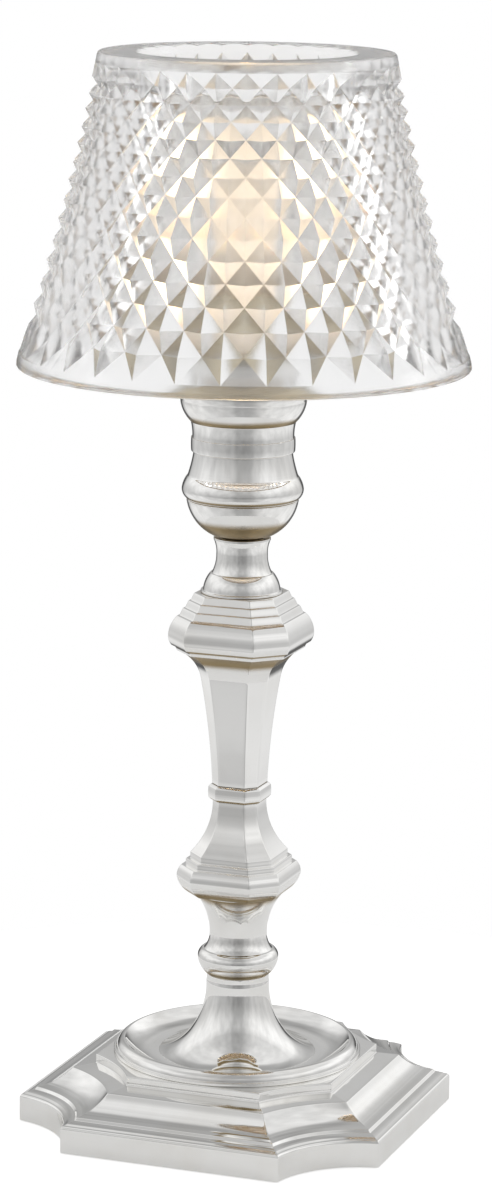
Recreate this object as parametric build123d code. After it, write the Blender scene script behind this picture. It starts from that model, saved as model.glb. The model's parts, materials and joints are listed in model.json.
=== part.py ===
"""Candle lamp with a cut-glass shade: a weighted silver candlestick on a notched square foot,
a gallery plugged into its candle socket, a frosted chimney round a tealight, and a faceted
crystal shade that hangs on a three-armed carrier.  Millimetres, z up, origin under the foot.
"""
from build123d import *
from math import atan2, cos, pi, radians, sin, sqrt, tan
import os

# Foot: a square with concave corners, stepped inwards as it rises
FOOT_HALF = 66.0          # centre to straight side at the floor
NOTCH_CENTRE = 71.8       # centre of each corner arc, along x and along y
NOTCH_R = 32.9            # radius of the corner arcs at the floor
FOOT_CLEAR = 0.2          # height of the metal rim above the floor
RIM_H = 8.4               # upright band
ROLL_IN, ROLL_H, ROLL_SAG = 1.0, 1.2, 0.3         # rolled top edge of the band
LEDGE_IN, LEDGE_H, LEDGE_SAG = 3.3, 1.2, 0.15     # sloping ledge
LIP_IN, LIP_H = 0.7, 0.9              # small upstand under the hollow curve
CAVETTO_IN, CAVETTO_H = 10.5, 6.2     # hollow curve
CAVETTO_SAG = 1.05
TREAD_IN, TREAD_H = 7.0, 1.3          # nearly flat tread
TOP_RISE = 3.2                        # upright edge of the top step
FOOT_WALL = 4.0           # thickness of the casting
POCKET_R = 35.0           # round pocket that the dish drops into
POCKET_DEPTH = 4.8
POCKET_FLOOR = 3.5        # metal left under the pocket
POST_R = 4.5              # posts that take the cover screws
POST_IN = 11.4            # post axis, inwards from the straight side

# Fits
FIT_GAP = 0.05            # fasteners in their holes
OVERCUT = 1.0             # how far a cutter runs past the face that it opens

# Underside
FELT_T = 1.3
COVER_T = 1.5
COVER_GAP = 0.3           # cover and felt to the inside of the rim
WEIGHT_BORE_R = 14.0
WEIGHT_GAP = 1.0          # weight to the casting
SCREW_R = 1.2
SCREW_HEAD_R = 2.6
SCREW_LENGTH = 7.0

# Tie rod that clamps the stack together
ROD_R = 3.0
ROD_TAIL = 1.4            # rod end past each nut
ROD_GAP = 0.2             # rod to the bores
WASHER_R, WASHER_T = 8.0, 1.2
NUT_FLATS, NUT_H = 10.0, 5.0

# Round dish on the foot, with a hollow well round the stem
DISH_R = 43.2
DISH_EDGE_H = 1.3         # upright edge
DISH_STEP = 0.9           # level step inside that edge
DISH_CREST_R = 39.3
DISH_CREST_H = 4.5        # crest above the top of the foot
DISH_ROLL = 0.8           # bulge of the roll outside the crest
DISH_FLOOR_T = 4.6
WELL_R = 28.2             # flat floor of the well
WELL_SAG = 1.3
POCKET_GAP = 0.3          # dish to its pocket

# Lower round stem: trumpet, band, knop, fillet and a flared top
TRUMPET_R = 27.6
TRUMPET_ROOT_R, TRUMPET_ROOT_H = 16.2, 7.8
TRUMPET_ROOT_SAG = 1.25
THROAT_R, TRUMPET_H = 11.0, 17.6
TRUMPET_SAG = 1.55
THROAT_BAND_H, THROAT_BAND_SAG = 3.0, 0.15
KNOP_R, KNOP_LOW_H, KNOP_SAG = 14.1, 5.5, 0.6
KNOP_TOP_R, KNOP_HIGH_H, KNOP_LEDGE = 12.4, 3.4, 0.5
NECKING_R, NECKING_H, NECKING_SAG = 10.1, 4.2, 0.35
STEM_TOP_R, STEM_TOP_H = 15.6, 16.4
STEM_TOP_SAG = 1.75

# Eight-sided pieces: all radii are from the axis to the four wide faces
FACE_SHARE = 0.57         # half a wide face for each millimetre of that radius
BOWL_FOOT_R = 15.5
BOWL_R, BOWL_H, BOWL_SAG = 19.0, 6.0, 0.7
BOWL_SHOULDER_R, BOWL_SHOULDER_H, BOWL_SHOULDER_SAG = 17.6, 4.0, 0.4
STEP_IN, STEP_H = 1.35, 2.2           # each of the two small steps
STEP_COUNT = 2
REED_R, REED_H, REED_SAG = 8.2, 18.6, 1.9
COLLAR_R, COLLAR_EDGE_R, COLLAR_H, COLLAR_SAG = 9.5, 8.7, 5.5, 0.15
SHAFT_R, SHAFT_MID_R, SHAFT_TOP_R = 8.4, 12.2, 18.9
SHAFT_H, SHAFT_FLARE_H = 38.0, 9.5
SHAFT_SAG, SHAFT_FLARE_SAG = 0.6, 1.3
BELT_FOOT_R = 19.4
BELT_COVE_R, BELT_COVE_H, BELT_COVE_SAG = 20.5, 1.9, 0.2
BELT_LEDGE = 0.6
BELT_R, BELT_LOW_H, BELT_LOW_SAG = 22.1, 3.3, 0.25
BELT_TOP_R, BELT_HIGH_H, BELT_HIGH_SAG = 19.4, 7.0, 0.7
BELT_STEP_LEDGE, BELT_STEP_IN, BELT_STEP_H = 0.6, 1.1, 2.6      # each step: level, then sloping
BELT_STEP_COUNT = 3

# Round neck between the stem and the candle socket
NECK_FOOT_R, NECK_FOOT_H = 14.1, 0.9
NECK_BELL_R, NECK_BELL_H, NECK_BELL_SAG = 13.3, 5.9, 0.5
NECK_STEP_R, NECK_STEP_IN = 10.8, 0.45
NECK_R, NECK_WAIST_H, NECK_WAIST_SAG = 8.85, 6.2, 0.4
FLANGE_R, FLANGE_FLARE_H, FLANGE_FLARE_SAG, FLANGE_EDGE_H = 9.8, 5.4, 0.35, 0.8

# Candle socket
SOCKET_SPIGOT_R, SOCKET_SPIGOT_H = 7.6, 1.0
CUP_FOOT_R, CUP_R = 10.6, 19.2
CUP_H, CUP_SAG = 12.0, 1.8
CUP_GROOVE = 0.5          # depth and half height of the turned groove
CUP_BEAD_R, CUP_BEAD_LOW_H, CUP_BEAD_HIGH_H = 20.85, 4.0, 4.5
CUP_BEAD_SAG = 0.35
WAIST_R, WAIST_LOW_H, WAIST_LOW_SAG = 16.9, 8.3, 0.2
BAND_R, BAND_H, BAND_SAG = 17.75, 4.8, 0.1
WAIST_HIGH_H, WAIST_HIGH_SAG = 5.5, 0.2
LIP_FOOT_R, LIP_R, LIP_RISE, LIP_SAG = 18.0, 21.6, 7.7, 0.7
LIP_EDGE_R, LIP_EDGE_H, LIP_EDGE_SAG = 22.0, 3.0, 0.2
SOCKET_FLOOR = 8.8
LINER_R = 11.0            # bore that a candle or the gallery's peg fits in
LINER_WALL = 2.3
LINER_FLOOR = 1.2
LINER_DEPTH = 34.0
LINER_FLANGE_R, LINER_FLANGE_T = 16.8, 1.2
LINER_GAP = 0.1

# Gallery: peg, spun bowl and the pan that carries candle and chimney
PEG_LENGTH = 29.0
PEG_FIT = 0.08
GALLERY_SEAT_R = 20.5
GALLERY_BULB_R, GALLERY_BULB_H, GALLERY_BULB_SAG = 27.0, 12.0, 1.3
GALLERY_RIM_R, GALLERY_FLARE_H, GALLERY_FLARE_SAG = 32.4, 10.0, 0.8
GALLERY_WALL = 1.4
GALLERY_FLOOR = 2.0
GALLERY_SCREW_R, GALLERY_SCREW_LENGTH = 2.5, 18.0
GALLERY_SCREW_HEAD_R, GALLERY_SCREW_HEAD_H = 4.6, 3.0
GALLERY_SCREW_CROWN_R, GALLERY_SCREW_CROWN_SAG = 2.0, 0.3
PAN_T = 1.5
PAN_LIP_T, PAN_LIP_H = 1.6, 4.0
SEAT_RING_T, SEAT_RING_H = 1.0, 1.2   # ring that centres the tealight
SEAT_RING_GAP = 0.6

# Chimney
CHIMNEY_R, CHIMNEY_WALL, CHIMNEY_H = 30.6, 3.0, 70.0
CHIMNEY_ROUND = 0.8
CHIMNEY_GAP = 0.8         # chimney to the lip of the pan

# Shade carrier on top of the chimney
CARRIER_BORE_R = 26.8
CARRIER_T = 1.8
SKIRT_H, SKIRT_T = 5.5, 1.4
SKIRT_GAP = 0.4
ARM_COUNT = 3
ARM_WIDTH, ARM_T = 6.0, 1.6
ARM_RISE = 3.5
ARM_LAP = 5.0             # length lying on the ring
ARM_SLOPE = 4.4           # length over which it climbs
ARM_END_GAP = 1.2         # end of the level foot to the inside of the shade
RIVET_R, RIVET_HEAD_R, RIVET_HEAD_H = 1.0, 1.8, 0.8
RIVET_CROWN_R, RIVET_CROWN_SAG = 0.6, 0.2
PAD_T = 1.5
PAD_MARGIN = 0.7

# Shade: a flared cone covered with four-sided pyramids
SHADE_TOP_R = 50.0        # crests at the top rim
SHADE_BOTTOM_R = 77.9     # crests at the lower edge
SHADE_H = 106.0
SHADE_FLARE_SAG = 1.7     # how far the side is hollowed at mid height
SHADE_HOLE_R = 36.9
SHADE_TOP_T = 12.1        # thickness over the inner shoulder
SHADE_WALL = 7.6          # crest to inner face
SHADE_EDGE_ROUND = 1.6    # rounding of the lower edge
LOWER_BAND = 4.6          # plain glass under the lowest points of the pattern
UPPER_BAND = 3.5          # plain glass over the pattern
CUT_DEPTH = 4.2           # groove depth under the crests
CUTS_ROUND = 32           # pyramids in one row
CUT_ROWS = 15             # half rows from bottom to top
ROW_SHRINK = 0.9665       # each half row against the one below
SHADE_TURN = 3.4          # degrees from x to the first point of the pattern

# Tealight
TEALIGHT_R, TEALIGHT_H, TEALIGHT_WALL = 19.0, 15.5, 0.5
WAX_LEVEL = 13.5          # wax surface above the pan
WAX_GAP = 0.1
WICK_R, WICK_LENGTH = 0.9, 21.0
TAB_R, TAB_T = 6.5, 0.6

# Heights worked out up the stack
felt_top = FELT_T
cover_top = felt_top + COVER_T
band_top = FOOT_CLEAR + RIM_H
foot_top = band_top + ROLL_H + LEDGE_H + LIP_H + CAVETTO_H + TREAD_H + TOP_RISE
pocket_z = foot_top - POCKET_DEPTH
ceiling_z = pocket_z - POCKET_FLOOR
well_z = pocket_z + DISH_FLOOR_T
throat_z = well_z + TRUMPET_ROOT_H + TRUMPET_H
stem_top = throat_z + THROAT_BAND_H + KNOP_LOW_H + KNOP_HIGH_H + NECKING_H + STEM_TOP_H
bowl_top = stem_top + BOWL_H + BOWL_SHOULDER_H + STEP_COUNT * STEP_H + REED_H
collar_top = bowl_top + COLLAR_H
shaft_top = collar_top + SHAFT_H + SHAFT_FLARE_H
belt_top = shaft_top + BELT_COVE_H + BELT_LOW_H + BELT_HIGH_H + BELT_STEP_COUNT * BELT_STEP_H
neck_top = belt_top + NECK_FOOT_H + NECK_BELL_H + NECK_WAIST_H + FLANGE_FLARE_H + FLANGE_EDGE_H
socket_floor_z = neck_top + SOCKET_FLOOR
cup_top = neck_top + SOCKET_SPIGOT_H + CUP_H
waist_z = cup_top + CUP_BEAD_LOW_H + CUP_BEAD_HIGH_H + WAIST_LOW_H
lip_foot_z = waist_z + BAND_H + WAIST_HIGH_H
lip_top = lip_foot_z + LIP_RISE + LIP_EDGE_H
bowl_rim_z = lip_top + GALLERY_BULB_H + GALLERY_FLARE_H
pan_z = bowl_rim_z + PAN_T
chimney_top = pan_z + CHIMNEY_H
carrier_top = chimney_top + CARRIER_T
arm_foot_z = carrier_top + ARM_RISE
pad_z = arm_foot_z + ARM_T
shoulder_z = pad_z + PAD_T
shade_top = shoulder_z + SHADE_TOP_T
shade_bottom = shade_top - SHADE_H

bore_r = ROD_R + ROD_GAP
foot_top_in = ROLL_IN + LEDGE_IN + LIP_IN + CAVETTO_IN + TREAD_IN
diagonal_share = (1 + FACE_SHARE) / sqrt(2)
skirt_r = CHIMNEY_R + SKIRT_GAP + SKIRT_T


def climb(start_r, start_z, steps):
    """Profile points from steps of (new radius, rise, bulge); a bulge above zero swells outwards."""
    points = [(start_r, start_z, 0.0)]
    for radius, rise, bulge in steps:
        points.append((radius, points[-1][1] + rise, bulge))
    return points


def edge_chain(points):
    """Straight runs and arcs through profile points in the xz plane."""
    edges = []
    for start, end in zip(points, points[1:]):
        first = Vector(start[0], 0, start[1])
        last = Vector(end[0], 0, end[1])
        bulge = end[2]
        if bulge:
            run = last - first
            outward = Vector(run.Z, 0, -run.X).normalized()
            edges.append(ThreePointArc(first, (first + last) * 0.5 + outward * bulge, last))
        else:
            edges.append(Line(first, last))
    return edges


def profile_face(points):
    """Face inside a profile, closed by a straight line from its last point to its first."""
    return Face(Wire(edge_chain(points + [(points[0][0], points[0][1], 0.0)])))


def turned(outer, inner):
    """Solid of revolution between an outer profile going up and an inner one coming down."""
    return revolve(profile_face(outer + inner), axis=Axis.Z)


def turned_with_bore(outer, radius):
    """Solid of revolution with a plain bore."""
    return turned(outer, [(radius, outer[-1][1], 0.0), (radius, outer[0][1], 0.0)])


def tube(radius, bore, z0, z1):
    """Plain ring between two heights."""
    return turned_with_bore([(radius, z0, 0.0), (radius, z1, 0.0)], bore)


def rod(radius, z0, z1, x=0.0, y=0.0):
    """Plain upright cylinder."""
    return Pos(x, y, z0) * Cylinder(radius, z1 - z0, align=(Align.CENTER, Align.CENTER, Align.MIN))


def ridge(points, reach):
    """Long prism with a profile on both sides of the yz plane."""
    closed = points + [(0.0, points[-1][1], 0.0), (0.0, points[0][1], 0.0)]
    half = extrude(profile_face(closed), amount=reach, dir=(0, 1, 0), both=True)
    return half + mirror(half, about=Plane.YZ)


def eight_sided(points):
    """Eight-sided baluster piece: wide faces across x and y, narrower ones on the diagonals."""
    reach = 2 * max(point[0] for point in points)
    wide = ridge(points, reach)
    narrow = ridge([(r * diagonal_share, z, bulge) for r, z, bulge in points], reach)
    body = wide & (Rot(0, 0, 90) * wide)
    body = body & (Rot(0, 0, 45) * narrow)
    body = body & (Rot(0, 0, -45) * narrow)
    return body - rod(bore_r, points[0][1] - OVERCUT, points[-1][1] + OVERCUT)


def notched(points):
    """Square block with concave corners from a profile of (inset, height, bulge)."""
    sides = [(FOOT_HALF - inset, z, bulge) for inset, z, bulge in points]
    block = ridge(sides, FOOT_HALF)
    block = block & (Rot(0, 0, 90) * block)
    corner = [(NOTCH_R + inset, z, -bulge) for inset, z, bulge in points]
    cutter = turned_with_bore(corner, 0.0)
    for x in (-NOTCH_CENTRE, NOTCH_CENTRE):
        for y in (-NOTCH_CENTRE, NOTCH_CENTRE):
            block = block - Pos(x, y, 0) * cutter
    return block


def four_round(radius):
    """Four places on the x and y axes."""
    return [(radius, 0), (0, radius), (-radius, 0), (0, -radius)]


def make_base_foot():
    """Hollow casting with a pocket for the dish and four posts for the cover."""
    outline = climb(0.0, FOOT_CLEAR, [
        (0.0, RIM_H, 0),
        (ROLL_IN, ROLL_H, ROLL_SAG),
        (ROLL_IN + LEDGE_IN, LEDGE_H, LEDGE_SAG),
        (ROLL_IN + LEDGE_IN + LIP_IN, LIP_H, 0),
        (foot_top_in - TREAD_IN, CAVETTO_H, -CAVETTO_SAG),
        (foot_top_in, TREAD_H, 0),
        (foot_top_in, TOP_RISE, 0),
    ])
    cavity = [
        (FOOT_WALL, FOOT_CLEAR - OVERCUT, 0.0),
        (FOOT_WALL, band_top - FOOT_WALL / 2, 0.0),
        (FOOT_WALL + foot_top_in - TREAD_IN, ceiling_z, 0.0),
    ]
    foot = notched(outline) - notched(cavity)
    post_top = band_top + FOOT_WALL
    for x, y in four_round(FOOT_HALF - POST_IN):
        foot = foot + rod(POST_R, cover_top, post_top, x, y)
    for x, y in four_round(FOOT_HALF - POST_IN):
        foot = foot - rod(SCREW_R + FIT_GAP, cover_top, felt_top + SCREW_LENGTH + FIT_GAP, x, y)
    foot = foot - rod(POCKET_R, pocket_z, foot_top + OVERCUT)
    return foot - rod(bore_r, ceiling_z - OVERCUT, pocket_z + OVERCUT)


def make_under_plate(z0, z1):
    """Flat plate of the foot's outline, just inside its rim."""
    inset = FOOT_WALL + COVER_GAP
    return notched([(inset, z0, 0.0), (inset, z1, 0.0)])


def screw_profile(gap):
    """Countersunk screw or, with a gap, the hole that it sits in."""
    return [
        (SCREW_HEAD_R + gap, felt_top, 0.0),
        (SCREW_R + gap, cover_top - gap, 0.0),
        (SCREW_R + gap, felt_top + SCREW_LENGTH + gap, 0.0),
    ]


def make_cover():
    """Steel plate that closes the foot, countersunk for its screws."""
    plate = make_under_plate(felt_top, cover_top)
    hole = turned_with_bore(screw_profile(FIT_GAP), 0.0)
    for x, y in four_round(FOOT_HALF - POST_IN):
        plate = plate - Pos(x, y, 0) * hole
    return plate


def make_cover_screws():
    """Four countersunk screws."""
    screw = turned_with_bore(screw_profile(0.0), 0.0)
    return [Pos(x, y, 0) * screw for x, y in four_round(FOOT_HALF - POST_IN)]


def make_weight():
    """Iron ring that fills the foot."""
    ceiling_in = FOOT_WALL + foot_top_in - TREAD_IN
    to_side = FOOT_HALF - ceiling_in
    to_corner = NOTCH_CENTRE * sqrt(2) - NOTCH_R - ceiling_in
    return tube(min(to_side, to_corner) - WEIGHT_GAP, WEIGHT_BORE_R, cover_top, ceiling_z - WEIGHT_GAP)


def make_dish():
    """Rolled rim and hollow well, with a drum that drops into the foot."""
    crest_z = foot_top + DISH_CREST_H
    outer = [
        (POCKET_R - POCKET_GAP, pocket_z, 0.0),
        (POCKET_R - POCKET_GAP, foot_top, 0.0),
        (DISH_R, foot_top, 0.0),
        (DISH_R, foot_top + DISH_EDGE_H, 0.0),
        (DISH_R - DISH_STEP, foot_top + DISH_EDGE_H, 0.0),
        (DISH_CREST_R, crest_z, DISH_ROLL),
        (WELL_R, well_z, -WELL_SAG),
    ]
    return turned(outer, [(bore_r, well_z, 0.0), (bore_r, pocket_z, 0.0)])


def make_stem_foot():
    """Turned trumpet with a knop."""
    outer = climb(TRUMPET_R, well_z, [
        (TRUMPET_ROOT_R, TRUMPET_ROOT_H, -TRUMPET_ROOT_SAG),
        (THROAT_R, TRUMPET_H, -TRUMPET_SAG),
        (THROAT_R, THROAT_BAND_H, -THROAT_BAND_SAG),
        (KNOP_R, KNOP_LOW_H, KNOP_SAG),
        (KNOP_TOP_R, KNOP_HIGH_H, KNOP_SAG),
        (KNOP_TOP_R - KNOP_LEDGE, 0.0, 0),
        (NECKING_R, NECKING_H, -NECKING_SAG),
        (STEM_TOP_R, STEM_TOP_H, -STEM_TOP_SAG),
    ])
    return turned_with_bore(outer, bore_r)


def make_lower_baluster():
    """Eight-sided bowl, two steps and a hollow reed."""
    after_shoulder = BOWL_SHOULDER_R
    steps = [(BOWL_R, BOWL_H, BOWL_SAG), (BOWL_SHOULDER_R, BOWL_SHOULDER_H, BOWL_SHOULDER_SAG)]
    for _ in range(STEP_COUNT):
        steps.append((after_shoulder - STEP_IN, 0.0, 0))
        steps.append((after_shoulder - STEP_IN, STEP_H, 0))
        after_shoulder = after_shoulder - STEP_IN
    steps.append((REED_R, REED_H, -REED_SAG))
    return eight_sided(climb(BOWL_FOOT_R, stem_top, steps))


def make_collar():
    """Eight-sided bead between the two balusters."""
    edge = COLLAR_R - COLLAR_EDGE_R
    return eight_sided(climb(COLLAR_EDGE_R, bowl_top, [
        (COLLAR_R, edge, 0),
        (COLLAR_R, COLLAR_H - 2 * edge, COLLAR_SAG),
        (COLLAR_EDGE_R, edge, 0),
    ]))


def make_shaft():
    """Eight-sided shaft that flares at the top."""
    return eight_sided(climb(SHAFT_R, collar_top, [
        (SHAFT_MID_R, SHAFT_H, -SHAFT_SAG),
        (SHAFT_TOP_R, SHAFT_FLARE_H, -SHAFT_FLARE_SAG),
    ]))


def make_shoulder():
    """Eight-sided belt with a cove under it and steps up to the neck."""
    steps = [
        (BELT_COVE_R, BELT_COVE_H, -BELT_COVE_SAG),
        (BELT_COVE_R + BELT_LEDGE, 0.0, 0),
        (BELT_R, BELT_LOW_H, BELT_LOW_SAG),
        (BELT_TOP_R, BELT_HIGH_H, BELT_HIGH_SAG),
    ]
    radius = BELT_TOP_R
    for _ in range(BELT_STEP_COUNT):
        steps.append((radius - BELT_STEP_LEDGE, 0.0, 0))
        radius = radius - BELT_STEP_LEDGE - BELT_STEP_IN
        steps.append((radius, BELT_STEP_H, 0))
    return eight_sided(climb(BELT_FOOT_R, shaft_top, steps))


def make_neck():
    """Turned bell, waist and flange under the socket."""
    outer = climb(NECK_FOOT_R, belt_top, [
        (NECK_FOOT_R, NECK_FOOT_H, 0),
        (NECK_BELL_R, 0.0, 0),
        (NECK_STEP_R, NECK_BELL_H, NECK_BELL_SAG),
        (NECK_STEP_R - NECK_STEP_IN, 0.0, 0),
        (NECK_R, NECK_WAIST_H, -NECK_WAIST_SAG),
        (FLANGE_R, FLANGE_FLARE_H, -FLANGE_FLARE_SAG),
        (FLANGE_R, FLANGE_EDGE_H, 0),
    ])
    return turned_with_bore(outer, bore_r)


def make_socket():
    """Turned candle cup with a rolled lip, bored for its liner."""
    outer = climb(SOCKET_SPIGOT_R, neck_top, [
        (SOCKET_SPIGOT_R, SOCKET_SPIGOT_H, 0),
        (CUP_FOOT_R, 0.0, 0),
        (CUP_R, CUP_H, CUP_SAG),
        (CUP_R - CUP_GROOVE, CUP_GROOVE, 0),
        (CUP_R + CUP_GROOVE, CUP_GROOVE, 0),
        (CUP_BEAD_R, CUP_BEAD_LOW_H - 2 * CUP_GROOVE, CUP_BEAD_SAG),
        ((CUP_BEAD_R + WAIST_R) / 2, CUP_BEAD_HIGH_H, CUP_BEAD_SAG),
        (WAIST_R, WAIST_LOW_H, -WAIST_LOW_SAG),
        (BAND_R, 0.0, 0),
        (BAND_R, BAND_H, BAND_SAG),
        (WAIST_R + CUP_GROOVE, 0.0, 0),
        (LIP_FOOT_R, WAIST_HIGH_H, -WAIST_HIGH_SAG),
        (LIP_FOOT_R + CUP_GROOVE, CUP_GROOVE, 0),
        (LIP_R, LIP_RISE - CUP_GROOVE, LIP_SAG),
        (LIP_EDGE_R, LIP_EDGE_H, LIP_EDGE_SAG),
    ])
    liner_hole = LINER_R + LINER_WALL + LINER_GAP
    flange_hole = LINER_FLANGE_R + LINER_GAP
    recess_z = lip_top - LINER_FLANGE_T
    return turned(outer, [
        (flange_hole, lip_top, 0.0),
        (flange_hole, recess_z, 0.0),
        (liner_hole, recess_z, 0.0),
        (liner_hole, socket_floor_z, 0.0),
        (bore_r, socket_floor_z, 0.0),
        (bore_r, neck_top, 0.0),
    ])


def make_liner():
    """Flanged brass cup in the socket."""
    bottom = lip_top - LINER_DEPTH
    outer_r = LINER_R + LINER_WALL
    outer = [
        (0.0, bottom, 0.0),
        (outer_r, bottom, 0.0),
        (outer_r, lip_top - LINER_FLANGE_T, 0.0),
        (LINER_FLANGE_R, lip_top - LINER_FLANGE_T, 0.0),
        (LINER_FLANGE_R, lip_top, 0.0),
    ]
    floor = bottom + LINER_FLOOR
    return turned(outer, [(LINER_R, lip_top, 0.0), (LINER_R, floor, 0.0), (0.0, floor, 0.0)])


def make_nut(z0):
    """Plain hexagon nut on the tie rod."""
    sketch = RegularPolygon(NUT_FLATS / 2, 6, major_radius=False)
    nut = Pos(0, 0, z0) * extrude(sketch, amount=NUT_H)
    return nut - rod(ROD_R + FIT_GAP, z0 - OVERCUT, z0 + NUT_H + OVERCUT)


def make_peg():
    """Solid plug that fits the socket liner, tapped for the gallery screw."""
    peg = rod(LINER_R - PEG_FIT, lip_top - PEG_LENGTH, lip_top)
    screw_end = lip_top + GALLERY_FLOOR - GALLERY_SCREW_LENGTH
    return peg - rod(GALLERY_SCREW_R + FIT_GAP, screw_end - FIT_GAP, lip_top + OVERCUT)


def make_gallery_bowl():
    """Spun bowl with a flat floor on the socket lip."""
    outer = climb(GALLERY_SEAT_R, lip_top, [
        (GALLERY_BULB_R, GALLERY_BULB_H, GALLERY_BULB_SAG),
        (GALLERY_RIM_R, GALLERY_FLARE_H, -GALLERY_FLARE_SAG),
    ])
    floor = lip_top + GALLERY_FLOOR
    hole = GALLERY_SCREW_R + FIT_GAP
    return turned(outer, [
        (GALLERY_RIM_R - GALLERY_WALL, bowl_rim_z, 0.0),
        (GALLERY_BULB_R - GALLERY_WALL, lip_top + GALLERY_BULB_H, GALLERY_FLARE_SAG),
        (GALLERY_SEAT_R, floor, -GALLERY_BULB_SAG),
        (hole, floor, 0.0),
        (hole, lip_top, 0.0),
    ])


def make_pan():
    """Pan with a lip round the chimney and a low ring round the tealight."""
    lip_in = CHIMNEY_R + CHIMNEY_GAP
    lip_out = lip_in + PAN_LIP_T
    pan = tube(lip_out, 0.0, bowl_rim_z, pan_z)
    pan = pan + tube(lip_out, lip_in, pan_z, pan_z + PAN_LIP_H)
    ring_in = TEALIGHT_R + SEAT_RING_GAP
    return pan + tube(ring_in + SEAT_RING_T, ring_in, pan_z, pan_z + SEAT_RING_H)


def make_gallery_screw():
    """Round-headed screw from the bowl into the peg."""
    floor = lip_top + GALLERY_FLOOR
    outer = [
        (GALLERY_SCREW_R, floor - GALLERY_SCREW_LENGTH, 0.0),
        (GALLERY_SCREW_R, floor, 0.0),
        (GALLERY_SCREW_HEAD_R, floor, 0.0),
        (GALLERY_SCREW_HEAD_R, floor + GALLERY_SCREW_HEAD_H / 2, 0.0),
        (GALLERY_SCREW_CROWN_R, floor + GALLERY_SCREW_HEAD_H, GALLERY_SCREW_CROWN_SAG),
    ]
    return turned_with_bore(outer, 0.0)


def make_chimney():
    """Open glass cylinder with softened ends."""
    glass = tube(CHIMNEY_R, CHIMNEY_R - CHIMNEY_WALL, pan_z, chimney_top)
    return fillet(glass.edges().filter_by(GeomType.CIRCLE), CHIMNEY_ROUND)


def make_carrier_ring():
    """Ring that lies on the chimney, with a skirt round its outside."""
    ring = tube(skirt_r, CARRIER_BORE_R, chimney_top, carrier_top)
    ring = ring + tube(skirt_r, skirt_r - SKIRT_T, chimney_top - SKIRT_H, chimney_top)
    hole = rod(RIVET_R + FIT_GAP, chimney_top - OVERCUT, carrier_top + OVERCUT, rivet_radius())
    for copy in round_the_axis(hole):
        ring = ring - copy
    return ring


def rivet_radius():
    """Rivets stand in the middle of the lap of each arm on the ring."""
    return skirt_r - ARM_LAP / 2


def arm_end_radius():
    """Arms reach almost to the inside of the shade, under its shoulder."""
    return crest_radius(shoulder_z) - SHADE_WALL - ARM_END_GAP


def make_arm():
    """Bent strip from the ring out to a level foot, along x."""
    inner = skirt_r - ARM_LAP
    bend = skirt_r + ARM_SLOPE
    end = arm_end_radius()
    slant = ARM_T * tan(atan2(ARM_RISE, ARM_SLOPE) / 2)
    side = [
        (inner, carrier_top, 0.0),
        (skirt_r, carrier_top, 0.0),
        (bend, arm_foot_z, 0.0),
        (end, arm_foot_z, 0.0),
        (end, pad_z, 0.0),
        (bend - slant, pad_z, 0.0),
        (skirt_r - slant, carrier_top + ARM_T, 0.0),
        (inner, carrier_top + ARM_T, 0.0),
    ]
    strip = extrude(profile_face(side), amount=ARM_WIDTH / 2, dir=(0, 1, 0), both=True)
    return strip - rod(RIVET_R + FIT_GAP, carrier_top - OVERCUT, pad_z + OVERCUT, rivet_radius())


def make_pad():
    """Soft block on the foot of an arm."""
    start = skirt_r + ARM_SLOPE + PAD_MARGIN / 2
    length = arm_end_radius() - start - PAD_MARGIN / 2
    block = Box(length, ARM_WIDTH - PAD_MARGIN, PAD_T, align=(Align.MIN, Align.CENTER, Align.MIN))
    return Pos(start, 0, pad_z) * block


def make_rivet():
    """Flush-backed rivet with a domed head."""
    lap_top = carrier_top + ARM_T
    outer = [
        (RIVET_R, chimney_top + FIT_GAP, 0.0),
        (RIVET_R, lap_top, 0.0),
        (RIVET_HEAD_R, lap_top, 0.0),
        (RIVET_CROWN_R, lap_top + RIVET_HEAD_H, RIVET_CROWN_SAG),
    ]
    return Pos(rivet_radius(), 0, 0) * turned_with_bore(outer, 0.0)


def round_the_axis(piece):
    """One copy of a piece for each arm."""
    return [Rot(0, 0, number * 360 / ARM_COUNT) * piece for number in range(ARM_COUNT)]


def crest_radius(z):
    """Radius of the pyramid tops, on a slightly hollow cone."""
    share = (z - shade_bottom) / SHADE_H
    straight = SHADE_BOTTOM_R + (SHADE_TOP_R - SHADE_BOTTOM_R) * share
    return straight - 4 * SHADE_FLARE_SAG * share * (1 - share)


def row_heights():
    """Heights of the half rows of the pattern, closer together towards the top."""
    low = shade_bottom + LOWER_BAND
    high = shade_top - UPPER_BAND
    whole = 1 - ROW_SHRINK ** CUT_ROWS
    return [low + (high - low) * (1 - ROW_SHRINK ** row) / whole for row in range(CUT_ROWS + 1)]


def shade_point(half_step, radius, z):
    """Point of the shade's surface; there are two half steps to each pyramid."""
    angle = radians(SHADE_TURN) + half_step * pi / CUTS_ROUND
    return Vector(radius * cos(angle), radius * sin(angle), z)


def pattern_rings():
    """Rings of points up the outside: crests and groove crossings in turn."""
    rings = []
    rows = row_heights()
    for row, z in enumerate(rows):
        crest = crest_radius(z)
        plain = row in (0, CUT_ROWS)
        ring = []
        for half_step in range(2 * CUTS_ROUND):
            crossing = (half_step + row) % 2 == 0 and not plain
            ring.append(shade_point(half_step, crest - CUT_DEPTH if crossing else crest, z))
        rings.append(ring)
    return rings


def plain_ring(radius, z):
    """Even ring with a point at every half step."""
    return [shade_point(half_step, radius, z) for half_step in range(2 * CUTS_ROUND)]


def flat_face(*points):
    """Flat face with straight sides."""
    return Face(Wire.make_polygon(points, close=True))


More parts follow.
